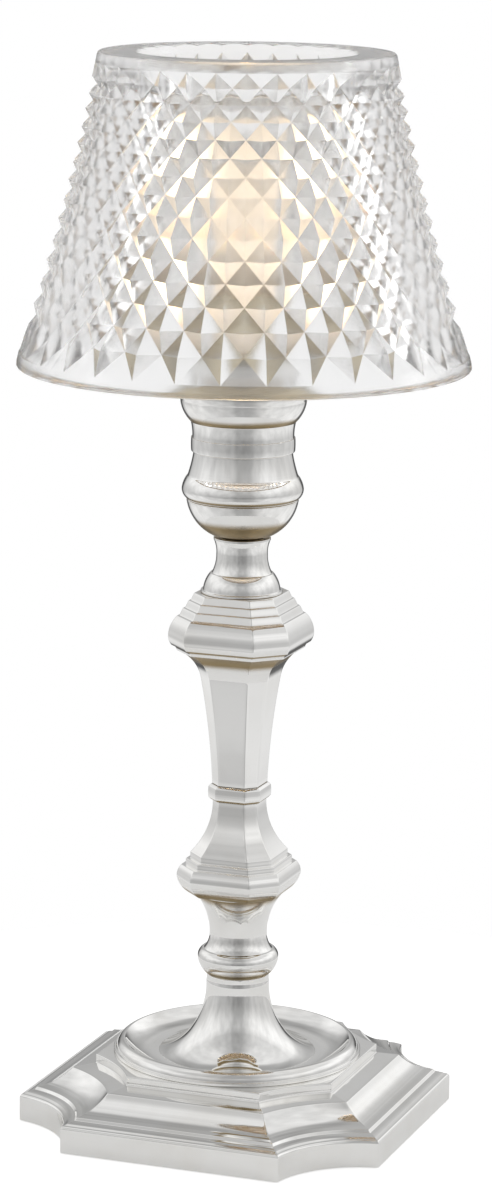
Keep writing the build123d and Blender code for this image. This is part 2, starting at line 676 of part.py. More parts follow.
def make_shade():
    """Crystal cone: pyramids outside, smooth inside, with a shoulder that rests on the carrier."""
    count = 2 * CUTS_ROUND
    faces = []
    rings = pattern_rings()
    for row in range(CUT_ROWS):
        low, high = rings[row], rings[row + 1]
        for left in range(count):
            right = (left + 1) % count
            if (left + row) % 2 == 0:
                faces.append(flat_face(low[left], low[right], high[right]))
                faces.append(flat_face(low[left], high[right], high[left]))
            else:
                faces.append(flat_face(low[left], low[right], high[left]))
                faces.append(flat_face(low[right], high[right], high[left]))
    foot_r = crest_radius(shade_bottom + SHADE_EDGE_ROUND)
    corner = SHADE_EDGE_ROUND * (1 - sqrt(0.5))
    top_ring = plain_ring(SHADE_TOP_R, shade_top)
    edge = [
        plain_ring(foot_r - SHADE_EDGE_ROUND, shade_bottom),
        plain_ring(foot_r - corner, shade_bottom + corner),
        plain_ring(foot_r, shade_bottom + SHADE_EDGE_ROUND),
        rings[0],
    ]
    bands = list(zip(edge, edge[1:])) + [(rings[-1], top_ring)]
    for low, high in bands:
        for left in range(count):
            right = (left + 1) % count
            faces.append(flat_face(low[left], low[right], high[right], high[left]))
    faces.append(flat_face(*edge[0]))
    faces.append(flat_face(*top_ring))
    block = Solid(Shell(faces))
    inside = [
        (foot_r - SHADE_WALL, shade_bottom, 0.0),
        (crest_radius(shoulder_z) - SHADE_WALL, shoulder_z, -SHADE_FLARE_SAG),
        (SHADE_HOLE_R, shoulder_z, 0.0),
        (SHADE_HOLE_R, shade_top + OVERCUT, 0.0),
    ]
    hollow = turned(inside, [(0.0, shade_top + OVERCUT, 0.0), (0.0, shade_bottom, 0.0)])
    return block - hollow


def make_tealight_cup():
    """Thin open cup on the pan."""
    cup = rod(TEALIGHT_R, pan_z, pan_z + TEALIGHT_H)
    return cup - rod(TEALIGHT_R - TEALIGHT_WALL, pan_z + TEALIGHT_WALL, pan_z + TEALIGHT_H + OVERCUT)


def make_wax():
    """Wax with room for the wick and its tab."""
    floor = pan_z + TEALIGHT_WALL
    wax = rod(TEALIGHT_R - TEALIGHT_WALL - WAX_GAP, floor, pan_z + WAX_LEVEL)
    wax = wax - rod(TAB_R + FIT_GAP, floor, floor + TAB_T + FIT_GAP)
    return wax - rod(WICK_R + FIT_GAP, floor, pan_z + WAX_LEVEL + OVERCUT)


def make_parts():
    """Every piece by name."""
    tab_z = pan_z + TEALIGHT_WALL
    parts = {
        "base_foot": make_base_foot(),
        "base_weight": make_weight(),
        "base_cover": make_cover(),
        "cover_screws": make_cover_screws(),
        "felt_pad": make_under_plate(0.0, felt_top),
        "well_dish": make_dish(),
        "stem_foot": make_stem_foot(),
        "lower_baluster": make_lower_baluster(),
        "collar_ring": make_collar(),
        "upper_shaft": make_shaft(),
        "shoulder_belt": make_shoulder(),
        "neck": make_neck(),
        "candle_socket": make_socket(),
        "socket_liner": make_liner(),
        "tie_rod": rod(ROD_R, ceiling_z - WASHER_T - NUT_H - ROD_TAIL, socket_floor_z + NUT_H + ROD_TAIL),
        "rod_washer": tube(WASHER_R, bore_r, ceiling_z - WASHER_T, ceiling_z),
        "bottom_nut": make_nut(ceiling_z - WASHER_T - NUT_H),
        "socket_nut": make_nut(socket_floor_z),
        "gallery_peg": make_peg(),
        "gallery_bowl": make_gallery_bowl(),
        "gallery_screw": make_gallery_screw(),
        "gallery_pan": make_pan(),
        "chimney_glass": make_chimney(),
        "carrier_ring": make_carrier_ring(),
        "carrier_rivets": round_the_axis(make_rivet()),
        "carrier_pads": round_the_axis(make_pad()),
        "glass_shade": make_shade(),
        "tealight_cup": make_tealight_cup(),
        "tealight_wax": make_wax(),
        "wick_tab": rod(TAB_R, tab_z, tab_z + TAB_T),
        "wick": rod(WICK_R, tab_z + TAB_T, tab_z + TAB_T + WICK_LENGTH),
    }
    for number, arm in enumerate(round_the_axis(make_arm()), start=1):
        parts[f"carrier_arm_{number}"] = arm
    return parts


def main():
    """Write one file for each piece."""
    os.makedirs("parts", exist_ok=True)
    for name, piece in make_parts().items():
        shape = Compound(children=piece) if isinstance(piece, list) else piece
        export_step(shape, f"parts/{name}.step")
    print("height", round(shade_top, 2), "socket lip", round(lip_top, 2), "foot top", round(foot_top, 2))


main()
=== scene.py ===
"""Dress the candle lamp: a polished silver stick, a cut-crystal shade on its carrier, a frosted
chimney and a lit tealight.  Metres, z up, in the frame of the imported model.
"""

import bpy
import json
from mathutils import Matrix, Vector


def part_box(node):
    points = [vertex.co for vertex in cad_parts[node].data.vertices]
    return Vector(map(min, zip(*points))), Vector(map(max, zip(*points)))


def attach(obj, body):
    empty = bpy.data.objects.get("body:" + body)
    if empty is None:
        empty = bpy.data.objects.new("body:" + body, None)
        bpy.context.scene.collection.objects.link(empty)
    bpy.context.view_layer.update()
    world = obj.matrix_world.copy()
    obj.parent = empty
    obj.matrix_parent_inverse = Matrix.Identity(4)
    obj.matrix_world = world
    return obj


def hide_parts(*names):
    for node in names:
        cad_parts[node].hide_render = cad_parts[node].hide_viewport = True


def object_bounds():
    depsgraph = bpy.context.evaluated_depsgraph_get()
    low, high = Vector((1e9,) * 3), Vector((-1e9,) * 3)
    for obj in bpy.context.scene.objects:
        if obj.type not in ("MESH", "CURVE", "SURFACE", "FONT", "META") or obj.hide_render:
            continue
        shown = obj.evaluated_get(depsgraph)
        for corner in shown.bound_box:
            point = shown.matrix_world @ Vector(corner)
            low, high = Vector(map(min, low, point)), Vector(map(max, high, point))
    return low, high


bl_info = {
    "name": "Candle lamp with cut-crystal shade",
    "version": (1, 0, 0),
    "blender": (4, 5, 0),
    "location": "View3D > Sidebar > Candle Lamp",
    "description": "Dresses the pieces of the candle lamp and sets them in a light tent",
    "category": "Object",
}

import json
import math

import bmesh
import bpy
from mathutils import Matrix, Vector

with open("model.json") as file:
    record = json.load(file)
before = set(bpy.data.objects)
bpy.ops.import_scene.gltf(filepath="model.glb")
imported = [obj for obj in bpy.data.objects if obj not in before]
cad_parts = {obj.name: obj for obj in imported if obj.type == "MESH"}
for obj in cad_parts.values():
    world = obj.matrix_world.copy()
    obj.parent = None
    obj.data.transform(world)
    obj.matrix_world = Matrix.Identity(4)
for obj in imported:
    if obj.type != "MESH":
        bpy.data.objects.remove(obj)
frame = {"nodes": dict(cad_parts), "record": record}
CAD_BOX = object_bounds()

MM = 0.001
WELD = 0.001 * MM             # doubles in a CAD mesh
NEAR = 0.05 * MM              # section points closer than this are one
SEAM_JOIN = 0.002 * MM        # gap between the plain and the cut part of the shade
CUT_AZIMUTH = 0.001           # radians, just beside the seam of the turned solids
FOOT_CUT = 13 * MM            # the foot is cut beside its screw holes
STRAIGHT = math.radians(0.1)  # an outline that turns less is straight
CORNER_TURN = math.radians(20)  # one that turns more has a corner
CORNER_STEPS = 4
CORNER_SHARE = 0.4            # most of a side that a rounded corner takes
RUN_INSET = 2.5               # edge radii from the end of a straight run to its first point
RUN_SHARE = 0.45              # most of a straight run that an inset takes
NOTCH_STEPS = 18
FLAT_TURN = math.radians(1)   # faces that meet at less are one flat side
SHARP_TURN = math.radians(35)  # edges that turn more are bevelled
BEVEL_STEPS = 2

THIN_EDGE = 0.3 * MM          # rounding of brass, chimney, felt and carrier ring
ARM_EDGE = 0.25 * MM
FOIL_EDGE = 0.15 * MM
RIVET_EDGE = 0.15 * MM
PAD_EDGE = 0.35 * MM
WAX_EDGE = 0.8 * MM
FLOOR_GAP = 0.1 * MM          # the floor lies just under the felt

STICK_ROUND = ("stem_foot", "neck", "candle_socket")
STICK_EIGHT = ("lower_baluster", "collar_ring", "upper_shaft", "shoulder_belt")


# Settings

def colour_setting(name, description, default):
    """Setting for a colour."""
    return bpy.props.FloatVectorProperty(
        name=name, description=description, subtype="COLOR", default=default, min=0, max=1)


def length_setting(name, description, default, **limits):
    """Setting for a length in metres."""
    return bpy.props.FloatProperty(
        name=name, description=description, unit="LENGTH", default=default, **limits)


def angle_setting(name, description, degrees):
    """Setting for an angle, written in degrees."""
    return bpy.props.FloatProperty(
        name=name, description=description, unit="ROTATION", subtype="ANGLE", default=math.radians(degrees))


def share_setting(name, description, default, least=0.0, most=1.0):
    """Setting for a share of a whole."""
    return bpy.props.FloatProperty(
        name=name, description=description, subtype="FACTOR", default=default, min=least, max=most)


def light_setting(name, description, default, unit="NONE"):
    """Setting for a brightness, where 1 is white, or a power."""
    return bpy.props.FloatProperty(name=name, description=description, unit=unit, default=default, min=0)


def count_setting(name, description, default, least, most):
    """Setting for a whole number."""
    return bpy.props.IntProperty(name=name, description=description, default=default, min=least, max=most)


class LampSilver(bpy.types.PropertyGroup):
    """Finish of the candlestick."""
    colour: colour_setting("Silver", "Colour of clean polished silver", (0.93, 0.925, 0.91))
    toned: colour_setting("Toned silver", "Colour where the polish has dulled", (0.84, 0.82, 0.78))
    # this colour also paints warm shade on the undersides of the stick
    tarnish_shade_colour: colour_setting("Tarnish", "Colour left in hollows that polishing misses", (0.31, 0.22, 0.09))
    roughness: share_setting("Polish", "Roughness of the best polished places", 0.02)
    edge: length_setting(
        "Edge rounding", "Radius that polishing has left on the edges", 0.4 * MM, min=0.05 * MM, max=2 * MM)
    round_steps: count_setting("Steps round", "Points in one ring of a turned piece", 144, 24, 256)
    brass: colour_setting("Brass", "Colour of the gallery, peg and liner", (0.62, 0.53, 0.36))


class LampCrystal(bpy.types.PropertyGroup):
    """Shape and finish of the cut-crystal shade."""
    pyramids: count_setting("Pyramids", "Pyramids in one row", 32, 8, 64)
    half_rows: count_setting("Half rows", "Half rows from the lower band to the upper one", 15, 3, 40)
    row_shrink: share_setting(
        "Row shrink", "Height of each half row against the one below", 0.9665, 0.8, 0.999)
    turn: angle_setting("Turn", "Angle from x to the first point of the pattern", 3.4)
    cut_depth: length_setting(
        "Cut depth", "Depth of the grooves under the points", 4.2 * MM, min=0.2 * MM, max=6 * MM)
    top_radius: length_setting("Top radius", "Outer radius of the upper rim", 50 * MM)
    bottom_radius: length_setting("Bottom radius", "Radius of the cone at the lower edge", 77.9 * MM)
    flare: length_setting("Flare", "How far the side is hollowed at mid height", 1.7 * MM)
    lower_band: length_setting("Lower band", "Plain glass under the pattern", 4.6 * MM)
    upper_band: length_setting("Upper band", "Plain glass over the pattern", 3.5 * MM)
    wall: length_setting("Wall", "Glass from the points to the inside", 7.6 * MM)
    hole_radius: length_setting("Hole radius", "Radius of the opening in the top", 36.9 * MM)
    top_thickness: length_setting("Top thickness", "Glass over the inner shoulder", 12.1 * MM)
    edge: length_setting("Edge rounding", "Rounding of the polished edges", 1.2 * MM)
    tint: colour_setting("Tint", "Colour of the glass", (0.975, 0.975, 0.975))


class LampFlame(bpy.types.PropertyGroup):
    """Flame and the glow that it gives the chimney."""
    height: length_setting("Flame height", "From the root to the tip", 32 * MM)
    radius: length_setting("Flame radius", "At its widest", 5.5 * MM)
    sunk: length_setting("Flame sunk", "From the tip of the wick down to the flame's root", 4.5 * MM)
    colour: colour_setting("Flame", "Colour of the body of the flame", (1.0, 0.76, 0.42))
    glow: colour_setting("Glow", "Colour of the lit chimney", (1.0, 0.8, 0.58))
    glow_strength: light_setting("Glow strength", "Brightness of the chimney beside the flame", 0.24)
    flame_strength: light_setting("Flame strength", "Brightness of the flame itself", 14.0)


class LampStage(bpy.types.PropertyGroup):
    """Camera and light tent."""
    azimuth: angle_setting("Camera azimuth", "Turn of the camera from the front", 20.29)
    pitch: angle_setting("Camera pitch", "How far the camera looks down", 11.65)
    roll: angle_setting("Camera roll", "Lean of the picture", 0.6)
    distance: length_setting("Camera distance", "Level distance from the axis", 1.3831)
    height: length_setting("Camera height", "Above the floor", 0.4685)
    aside: length_setting("Camera aside", "Step to the camera's right", 0.0015)
    lens: bpy.props.FloatProperty(
        name="Lens", description="Focal length in millimetres", unit="CAMERA", default=123.5, min=1)
    floor: colour_setting("Floor", "Colour of the floor", (0.79, 0.79, 0.785))
    floor_radius: length_setting("Floor radius", "Size of the floor", 0.24)
    floor_lift: light_setting("Floor lift", "Light that the camera sees from the floor itself", 0.6)
    tent_front: light_setting("Tent front", "Brightness of the tent behind the camera", 0.46)
    tent_left: light_setting("Tent left", "Brightness of the left panel", 0.9)
    tent_right: light_setting("Tent right", "Brightness of the right panel", 0.95)
    tent_gap: light_setting("Tent gap", "Brightness of the gaps behind the side panels", 0.2)
    tent_seam: light_setting("Tent seam", "Brightness of the gap between walls and ceiling", 0.75)
    tent_folds: share_setting("Tent folds", "Unevenness of the tent's cloth", 0.5)
    warm: colour_setting("Warm light", "Colour of light that falls through the shade", (0.24, 0.12, 0.0))
    box_power: light_setting("Soft box", "Power of the right soft box", 1.6, "POWER")


# Sections and skins

def level(azimuth):
    """Level direction at an azimuth."""
    return Vector((math.cos(azimuth), math.sin(azimuth), 0))


def cut_chain(edges):
    """Walk the edges of a cut from end to end, or once round if it closes."""
    links = {}
    for edge in edges:
        first, last = edge.verts
        links.setdefault(first, []).append(last)
        links.setdefault(last, []).append(first)
    ends = [point for point in links if len(links[point]) == 1]
    chain = [ends[0] if ends else next(iter(links))]
    seen = set(chain)
    while True:
        onward = next((point for point in links[chain[-1]] if point not in seen), None)
        if onward is None:
            return chain, not ends
        chain.append(onward)
        seen.add(onward)


def merged_solid(node):
    """Copy of a CAD node's mesh with its triangles joined."""
    solid = bmesh.new()
    solid.from_mesh(frame["nodes"][node].data)
    bmesh.ops.remove_doubles(solid, verts=solid.verts, dist=WELD)
    return solid


def section(node, azimuth=CUT_AZIMUTH, beside=0.0):
    """Half section of a CAD node: (reach, height) points, outer side going up, and whether it closes."""
    along = level(azimuth)
    across = Vector((-along.y, along.x, 0))
    solid = merged_solid(node)
    whole = solid.verts[:] + solid.edges[:] + solid.faces[:]
    bmesh.ops.bisect_plane(solid, geom=whole, plane_co=Vector(), plane_no=along, clear_inner=True)
    half = solid.verts[:] + solid.edges[:] + solid.faces[:]
    cut = bmesh.ops.bisect_plane(solid, geom=half, plane_co=across * beside, plane_no=across)
    chain, closed = cut_chain([item for item in cut["geom_cut"] if isinstance(item, bmesh.types.BMEdge)])
    points = [Vector((vertex.co.dot(along), vertex.co.z)) for vertex in chain]
    solid.free()
    if swept_area(points) < 0:
        points.reverse()
    return thinned(points, closed), closed


def swept_area(points):
    """Signed area inside an outline, above zero if its outer side goes up."""
    return sum(a.cross(b) for a, b in zip(points, points[1:] + points[:1])) / 2


def thinned(points, closed):
    """Outline without near doubles and without points on straight runs."""
    kept = [points[0]]
    for point in points[1:]:
        if (point - kept[-1]).length > NEAR:
            kept.append(point)
    if closed and (kept[0] - kept[-1]).length < NEAR:
        kept.pop()
    ends = () if closed else (0, len(kept) - 1)
    return [point for i, point in enumerate(kept) if i in ends or abs(turn_at(kept, i)) > STRAIGHT]


def turn_at(points, index):
    """Angle by which an outline turns at a point."""
    before = points[index] - points[index - 1]
    after = points[(index + 1) % len(points)] - points[index]
    return math.atan2(before.cross(after), before.dot(after))


def soften(points, closed, radius):
    """Outline with rounded corners, finer arcs and a point close to each end of its straight runs."""
    count = len(points)
    turns = {i: abs(turn_at(points, i)) for i in range(count) if closed or 0 < i < count - 1}
    corner = {i: turn for i, turn in turns.items() if turn > CORNER_TURN}
    drawn = []
    for index in range(count):
        drawn += corner_arc(points, index, corner[index], radius) if index in corner else [points[index]]
        if closed or index < count - 1:
            drawn += span_points(points, index, corner, closed, radius)
    return drawn


def corner_arc(points, index, turn, radius):
    """Arc that rounds one corner."""
    here = points[index]
    back = points[index - 1] - here
    onward = points[(index + 1) % len(points)] - here
    setback = min(radius * math.tan(turn / 2), CORNER_SHARE * back.length, CORNER_SHARE * onward.length)
    start = here + back.normalized() * setback
    end = here + onward.normalized() * setback
    shares = [step / CORNER_STEPS for step in range(CORNER_STEPS + 1)]
    return [start * (1 - s) ** 2 + here * 2 * s * (1 - s) + end * s ** 2 for s in shares]


def span_points(points, index, corner, closed, radius):
    """Points between two outline points: on the curve, or close to the ends of a straight run."""
    count = len(points)
    following = (index + 1) % count
    start, end = points[index], points[following]
    first_hard = index in corner or not closed and index == 0
    last_hard = following in corner or not closed and following == count - 1
    if first_hard and last_hard:
        inset = min(RUN_INSET * radius, RUN_SHARE * (end - start).length)
        step = (end - start).normalized() * inset
        return [start + step, end - step]
    before = start * 2 - end if first_hard else points[index - 1]
    after = end * 2 - start if last_hard else points[(index + 2) % count]
    shares = (0.5,) if first_hard or last_hard else (1 / 3, 2 / 3)
    return [curve_point(before, start, end, after, share) for share in shares]


def curve_point(before, start, end, after, share):
    """Point of a smooth curve through four points, between the middle two."""
    span = (end - start).length
    slope_in = (end - before) * span / (span + (start - before).length)
    slope_out = (after - start) * span / (span + (after - end).length)
    square, cube = share ** 2, share ** 3
    return (start * (2 * cube - 3 * square + 1) + slope_in * (cube - 2 * square + share)
            + end * (3 * square - 2 * cube) + slope_out * (cube - square))


def skin(profile, closed, ring):
    """Vertices, faces and ring sizes, one ring for each profile point; a point on the axis is a pole."""
    verts, loops = [], []
    for point in profile:
        start = len(verts)
        if point.x < NEAR:
            verts.append((0, 0, point.y))
        else:
            verts += [(x, y, point.y) for x, y in ring(point.x)]
        loops.append(range(start, len(verts)))
    pairs = list(zip(loops, loops[1:]))
    if closed:
        pairs.append((loops[-1], loops[0]))
    faces = []
    for low, high in pairs:
        around = max(len(low), len(high))
        for step in range(around):
            after = (step + 1) % around
            corners = (low[step % len(low)], low[after % len(low)],
                       high[after % len(high)], high[step % len(high)])
            faces.append(tuple(dict.fromkeys(corners)))
    return verts, faces, [len(loop) for loop in loops]


def circle(radius, count):
    """Points round the axis."""
    angles = [math.tau * step / count for step in range(count)]
    return [(radius * math.cos(angle), radius * math.sin(angle)) for angle in angles]


def round_ring(reach):
    """Ring of a turned piece."""
    return circle(reach, bpy.context.scene.lamp_silver.round_steps)


def four_sided(quarter):
    """Softened ring from the points of one quarter, turned on into the other three."""
    turns = [Matrix.Rotation(side * math.pi / 2, 2) for side in range(4)]
    outline = [turn @ point for turn in turns for point in quarter]
    return [tuple(point) for point in soften(outline, True, bpy.context.scene.lamp_silver.edge)]


def reach_of(node, azimuth):
    """How far a CAD node reaches in a level direction."""
    return max(vertex.co.dot(level(azimuth)) for vertex in frame["nodes"][node].data.vertices)


def eight_ring(node):
    """Rule for the rings of an eight-sided piece, with its own share of wide and narrow faces."""
    share = math.sqrt(2) * reach_of(node, math.pi / 4) / reach_of(node, 0) - 1

    def ring(reach):
        return four_sided([Vector((reach, -reach * share)), Vector((reach, reach * share))])
    return ring


def notched_ring():
    """Rule for the rings of the foot: a square whose corners are cut by arcs, found from the CAD foot."""
    points = [vertex.co for vertex in frame["nodes"]["base_foot"].data.vertices]
    half = max(point.x for point in points)
    side_end = max(point.y for point in points if point.x > half - NEAR)
    diagonal, _ = section("base_foot", math.pi / 4)
    waist = max(point.x for point in diagonal)
    centre = (half ** 2 + side_end ** 2 - waist ** 2) / (2 * (half + side_end - math.sqrt(2) * waist))
    radius = centre * math.sqrt(2) - waist

    def ring(reach):
        arc = radius + half - reach
        start = math.asin((centre - reach) / arc)
        angles = [start + (math.pi / 2 - 2 * start) * step / NOTCH_STEPS for step in range(NOTCH_STEPS + 1)]
        middle = Vector((centre, centre))
        return four_sided([middle - Vector((math.sin(angle), math.cos(angle))) * arc for angle in angles])
    return ring


def stem_outline():
    """Outline points of the whole stem, one piece after the other."""
    return [point for node in STICK_ROUND + STICK_EIGHT for point in section(node)[0]]


CLOTH_NEAR = 2.5 * MM         # outline points nearer than this don't keep a cloth away
CLOTH_FAR = 14 * MM           # nor do points farther than this
UNDERSIDE_TILT = (0.35, 0.65)  # downward part of a normal where painted shade on undersides begins, and where it is full
# strength of the painted warm shade on undersides
UNDERSIDE_SHADE = 0.6


def tarnish_and_shade_mask(profile, closed, outline):
    """How little a cloth reaches each profile point: 0 in the open, 1 in a deep groove; undersides also get
    painted shade.
    """
    last = len(profile) - 1
    quarter = math.pi / 2
    missed = []
    for index, point in enumerate(profile):
        onward = point if index == last and not closed else profile[(index + 1) % len(profile)]
        back = point if index == 0 and not closed else profile[index - 1]
        normal = Vector(((onward - back).y, -(onward - back).x))
        room = {True: math.pi, False: math.pi}
        for other in outline:
            step = other - point
            if CLOTH_NEAR < step.length < CLOTH_FAR:
                angle = math.atan2(normal.cross(step), normal.dot(step))
                fade = (1 - step.length / CLOTH_FAR) ** 0.5
                room[angle > 0] = min(room[angle > 0], quarter - (quarter - abs(angle)) * fade)
        # undersides get painted shade, deep grooves get tarnish
        start, full = UNDERSIDE_TILT
        underside = min(1.0, max(0.0, -normal.normalized().y - start) / (full - start))
        missed.append(max(UNDERSIDE_SHADE * underside, 1 - sum(room.values()) / math.pi))
    return missed


# Node trees

def both_ways(operation):
    """Operator on two values and its reflected form, as Math nodes."""
    def plain(self, other):
        return self.tree.math(operation, self, other)

    def reflected(self, other):
        return self.tree.math(operation, other, self)
    return plain, reflected


class Wire:
    """A value inside a node tree; sums and products of wires add their Math nodes."""
    __add__, __radd__ = both_ways("ADD")
    __sub__, __rsub__ = both_ways("SUBTRACT")
    __mul__, __rmul__ = both_ways("MULTIPLY")
    __truediv__, __rtruediv__ = both_ways("DIVIDE")
    __pow__, __rpow__ = both_ways("POWER")

    def __init__(self, tree, socket):
        self.tree = tree
        self.socket = socket

    def __getitem__(self, name):
        """Another output of the same node."""
        return Wire(self.tree, self.socket.node.outputs[name])

    def math(self, operation, *others):
        """Math node on this value and others."""
        return self.tree.math(operation, self, *others)


class Tree:
    """Adds nodes to one node tree, of a finish, the world or a shape."""

    def __init__(self, data):
        self.data = data

    def node(self, kind, inputs=None, **settings):
        """New node with its settings made first, then its sockets filled; gives its first output."""
        made = self.data.nodes.new(kind)
        for name, value in settings.items():
            if name == "stops":
                self.set_stops(made.color_ramp, value)
            else:
                setattr(made, name, value)
        for key, value in (inputs or {}).items():
            for item in value if isinstance(value, list) else [value]:
                if isinstance(item, Wire):
                    self.data.links.new(item.socket, made.inputs[key])
                else:
                    made.inputs[key].default_value = item
        return Wire(self, made.outputs[0]) if made.outputs else None

    @staticmethod
    def set_stops(ramp, stops):
        """Colour ramp from (place, colour) pairs."""
        while len(ramp.elements) < len(stops):
            ramp.elements.new(1)
        for element, (place, colour) in zip(ramp.elements, stops):
            element.position = place
            element.color = (*colour, 1)

    def math(self, operation, *values):
        """Math node on values in order."""
        return self.node("ShaderNodeMath", dict(enumerate(values)), operation=operation)

    def vector(self, operation, *values):
        """Vector Math node on values in order."""
        return self.node("ShaderNodeVectorMath", dict(enumerate(values)), operation=operation)

    def split(self, vector):
        """Node that gives the X, Y and Z of a vector."""
        return self.node("ShaderNodeSeparateXYZ", {"Vector": vector})

    def join(self, **parts):
        """Vector from X, Y and Z."""
        return self.node("ShaderNodeCombineXYZ", parts)

    def mix(self, factor, first, second):
        """Colour between two colours."""
        colours = [colour if isinstance(colour, Wire) else (*colour, 1) for colour in (first, second)]
        return self.node("ShaderNodeMix", {0: factor, 6: colours[0], 7: colours[1]}, data_type="RGBA")[2]

    def ramp(self, value, *stops):
        """Colour read off a ramp of (place, colour) stops."""
        return self.node("ShaderNodeValToRGB", {"Fac": value}, stops=stops)

    def smooth(self, value, start, end, first, last):
        """Smooth step from one level to another while a value goes from start to end."""
        ends = {"Value": value, "From Min": start, "From Max": end, "To Min": first, "To Max": last}
        return self.node("ShaderNodeMapRange", ends, interpolation_type="SMOOTHSTEP")

    def noise(self, place, scale, detail=3.0, roughness=0.5):
        """Noise value; scale is in features for each metre, the same all ways or one for each axis."""
        if isinstance(scale, tuple):
            place = self.node("ShaderNodeMapping", {"Vector": place, "Scale": scale})
            scale = 1.0
        return self.node("ShaderNodeTexNoise", {
            "Vector": place, "Scale": scale, "Detail": detail, "Roughness": roughness})


class Finish(Tree):
    """New material in object coordinates, with the constant sockets of its shader set."""

    def __init__(self, name, **constants):
        self.material = bpy.data.materials.new(name)
        self.material.use_nodes = True
        super().__init__(self.material.node_tree)
        self.shader = self.data.nodes["Principled BSDF"]
        for socket, value in constants.items():
            self.shader.inputs[socket.replace("_", " ")].default_value = value
        self.place = self.node("ShaderNodeTexCoord")["Object"]

    def grain(self, scale, detail=3.0, roughness=0.5):
        """Noise over the piece."""
        return self.noise(self.place, scale, detail, roughness)

    def height_share(self, low, high):
        """Share of the way up from one level to another."""
        return (self.split(self.place)["Z"] - low) / (high - low)

    def bump(self, height, depth, strength=1.0):
        """Normal from a height value."""
        return self.node("ShaderNodeBump", {"Height": height, "Distance": depth, "Strength": strength})

    def fed(self, **wires):
        """The material, with varying values linked to its shader."""
        for socket, wire in wires.items():
            self.data.links.new(wire.socket, self.shader.inputs[socket.replace("_", " ")])
        return self.material


def dimmed(colour, factor):
    """Colour made darker."""
    return tuple(factor * part for part in colour)


# Finishes

GRIME = (0.03, 0.025, 0.018)  # black left in joints and turned lines


def polished(name, clean, toned, tarnish_shade_colour, roughness):
    """Hand-polished metal: clouds of tone, wiping marks, faint waves, tarnish in hollows, and painted warm
    shade on undersides.
    """
    metal = Finish(name, Metallic=1.0)
    clouds = metal.grain(55.0, 4.0)
    wiping = metal.grain((260.0, 260.0, 2600.0), 2.0)
    waves = metal.grain(120.0, 1.0)
    # mask of tarnish in hollows and of painted warm shade on undersides
    missed = metal.node("ShaderNodeAttribute", attribute_name="missed")["Fac"]
    tarnish_shade_share = metal.smooth(missed + (clouds - 0.5) * 0.15, 0.25, 0.6, 0.0, 0.92)
    tarnish_shade_ramp = metal.ramp(missed, (0.6, tarnish_shade_colour), (0.8, GRIME))
    return metal.fed(
        Base_Color=metal.mix(tarnish_shade_share, metal.mix((clouds - 0.45) * 1.6, clean, toned), tarnish_shade_ramp),
        Roughness=roughness + clouds * 0.04 + wiping * 0.02 + tarnish_shade_share * 0.3,
        Normal=metal.bump(waves + wiping * 0.04, 0.035 * MM))


def finish_silver():
    """Polished silver of the stick."""
    silver = bpy.context.scene.lamp_silver
    return polished("Polished silver", silver.colour, silver.toned, silver.tarnish_shade_colour, silver.roughness)


def finish_brass():
    """Lacquered brass of gallery, peg and liner."""
    brass = bpy.context.scene.lamp_silver.brass
    dull = dimmed(brass, 0.8)
    return polished("Lacquered brass", brass, dull, dull, 0.12)


def finish_crystal():
    """Slightly misty lead crystal with polishing waves and a trace of haze in the cuts."""
    tint = bpy.context.scene.lamp_crystal.tint
    glass = Finish("Cut crystal", Transmission_Weight=0.92, IOR=1.52, Metallic=0.0)
    haze = glass.grain(300.0)
    return glass.fed(
        Base_Color=glass.mix(haze, tint, dimmed(tint, 0.985)),
        Roughness=0.14 + haze * 0.06,
        Normal=glass.bump(glass.grain(160.0, 1.0), 0.004 * MM))


def finish_frosted():
    """Frosted chimney glass with a painted glow of the flame, brightest beside it."""
    flame = bpy.context.scene.lamp_flame
    glass = Finish(
        "Frosted glass", Transmission_Weight=0.92, IOR=1.45, Emission_Strength=flame.glow_strength)
    low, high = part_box("chimney_glass")
    frost = glass.grain(2500.0, 2.0)
    glow = [(0.0, 0.16), (0.2, 0.5), (0.5, 1.0), (0.75, 0.75), (1.0, 0.22)]
    lit = [(place, dimmed(flame.glow, brightness)) for place, brightness in glow]
    return glass.fed(
        Base_Color=glass.mix(frost, (0.95, 0.94, 0.92), (0.9, 0.89, 0.87)),
        Roughness=0.28 + frost * 0.1,
        # painted glow by height, brightest beside the flame
        Emission_Color=glass.ramp(glass.height_share(low.z, high.z), *lit),
        Normal=glass.bump(frost, 0.02 * MM))


def finish_wax():
    """Warm white wax, glossy where it has melted round the wick, with a painted warm glow that is brightest
    there.
    """
    wax = Finish("Candle wax", Subsurface_Weight=0.6, Subsurface_Radius=(0.012, 0.008, 0.004), IOR=1.44,
                 Emission_Strength=0.35)
    clouds = wax.grain(140.0, 4.0)
    reach = wax.vector("LENGTH", wax.vector("MULTIPLY", wax.place, (1.0, 1.0, 0.0)))["Value"]
    melted_and_glow = wax.smooth(reach, 6 * MM, 14 * MM, 1.0, 0.0)
    return wax.fed(
        Base_Color=wax.mix(clouds, (0.93, 0.90, 0.83), (0.88, 0.84, 0.75)),
        Roughness=0.5 - melted_and_glow * 0.38 + clouds * 0.08,
        # painted glow of the flame's light in the wax, brightest round the wick
        Emission_Color=wax.mix(melted_and_glow, (0.35, 0.2, 0.09), (1.0, 0.62, 0.28)),
        Normal=wax.bump(clouds, 0.1 * MM, 0.6))


def finish_foil():
    """Thin pressed aluminium of the tealight cup."""
    foil = Finish("Pressed foil", Metallic=1.0)
    crease = foil.grain(420.0, 4.0)
    return foil.fed(
        Base_Color=foil.mix(crease, (0.86, 0.87, 0.88), (0.74, 0.75, 0.77)),
        Roughness=0.2 + crease * 0.2,
        Normal=foil.bump(crease, 0.05 * MM))


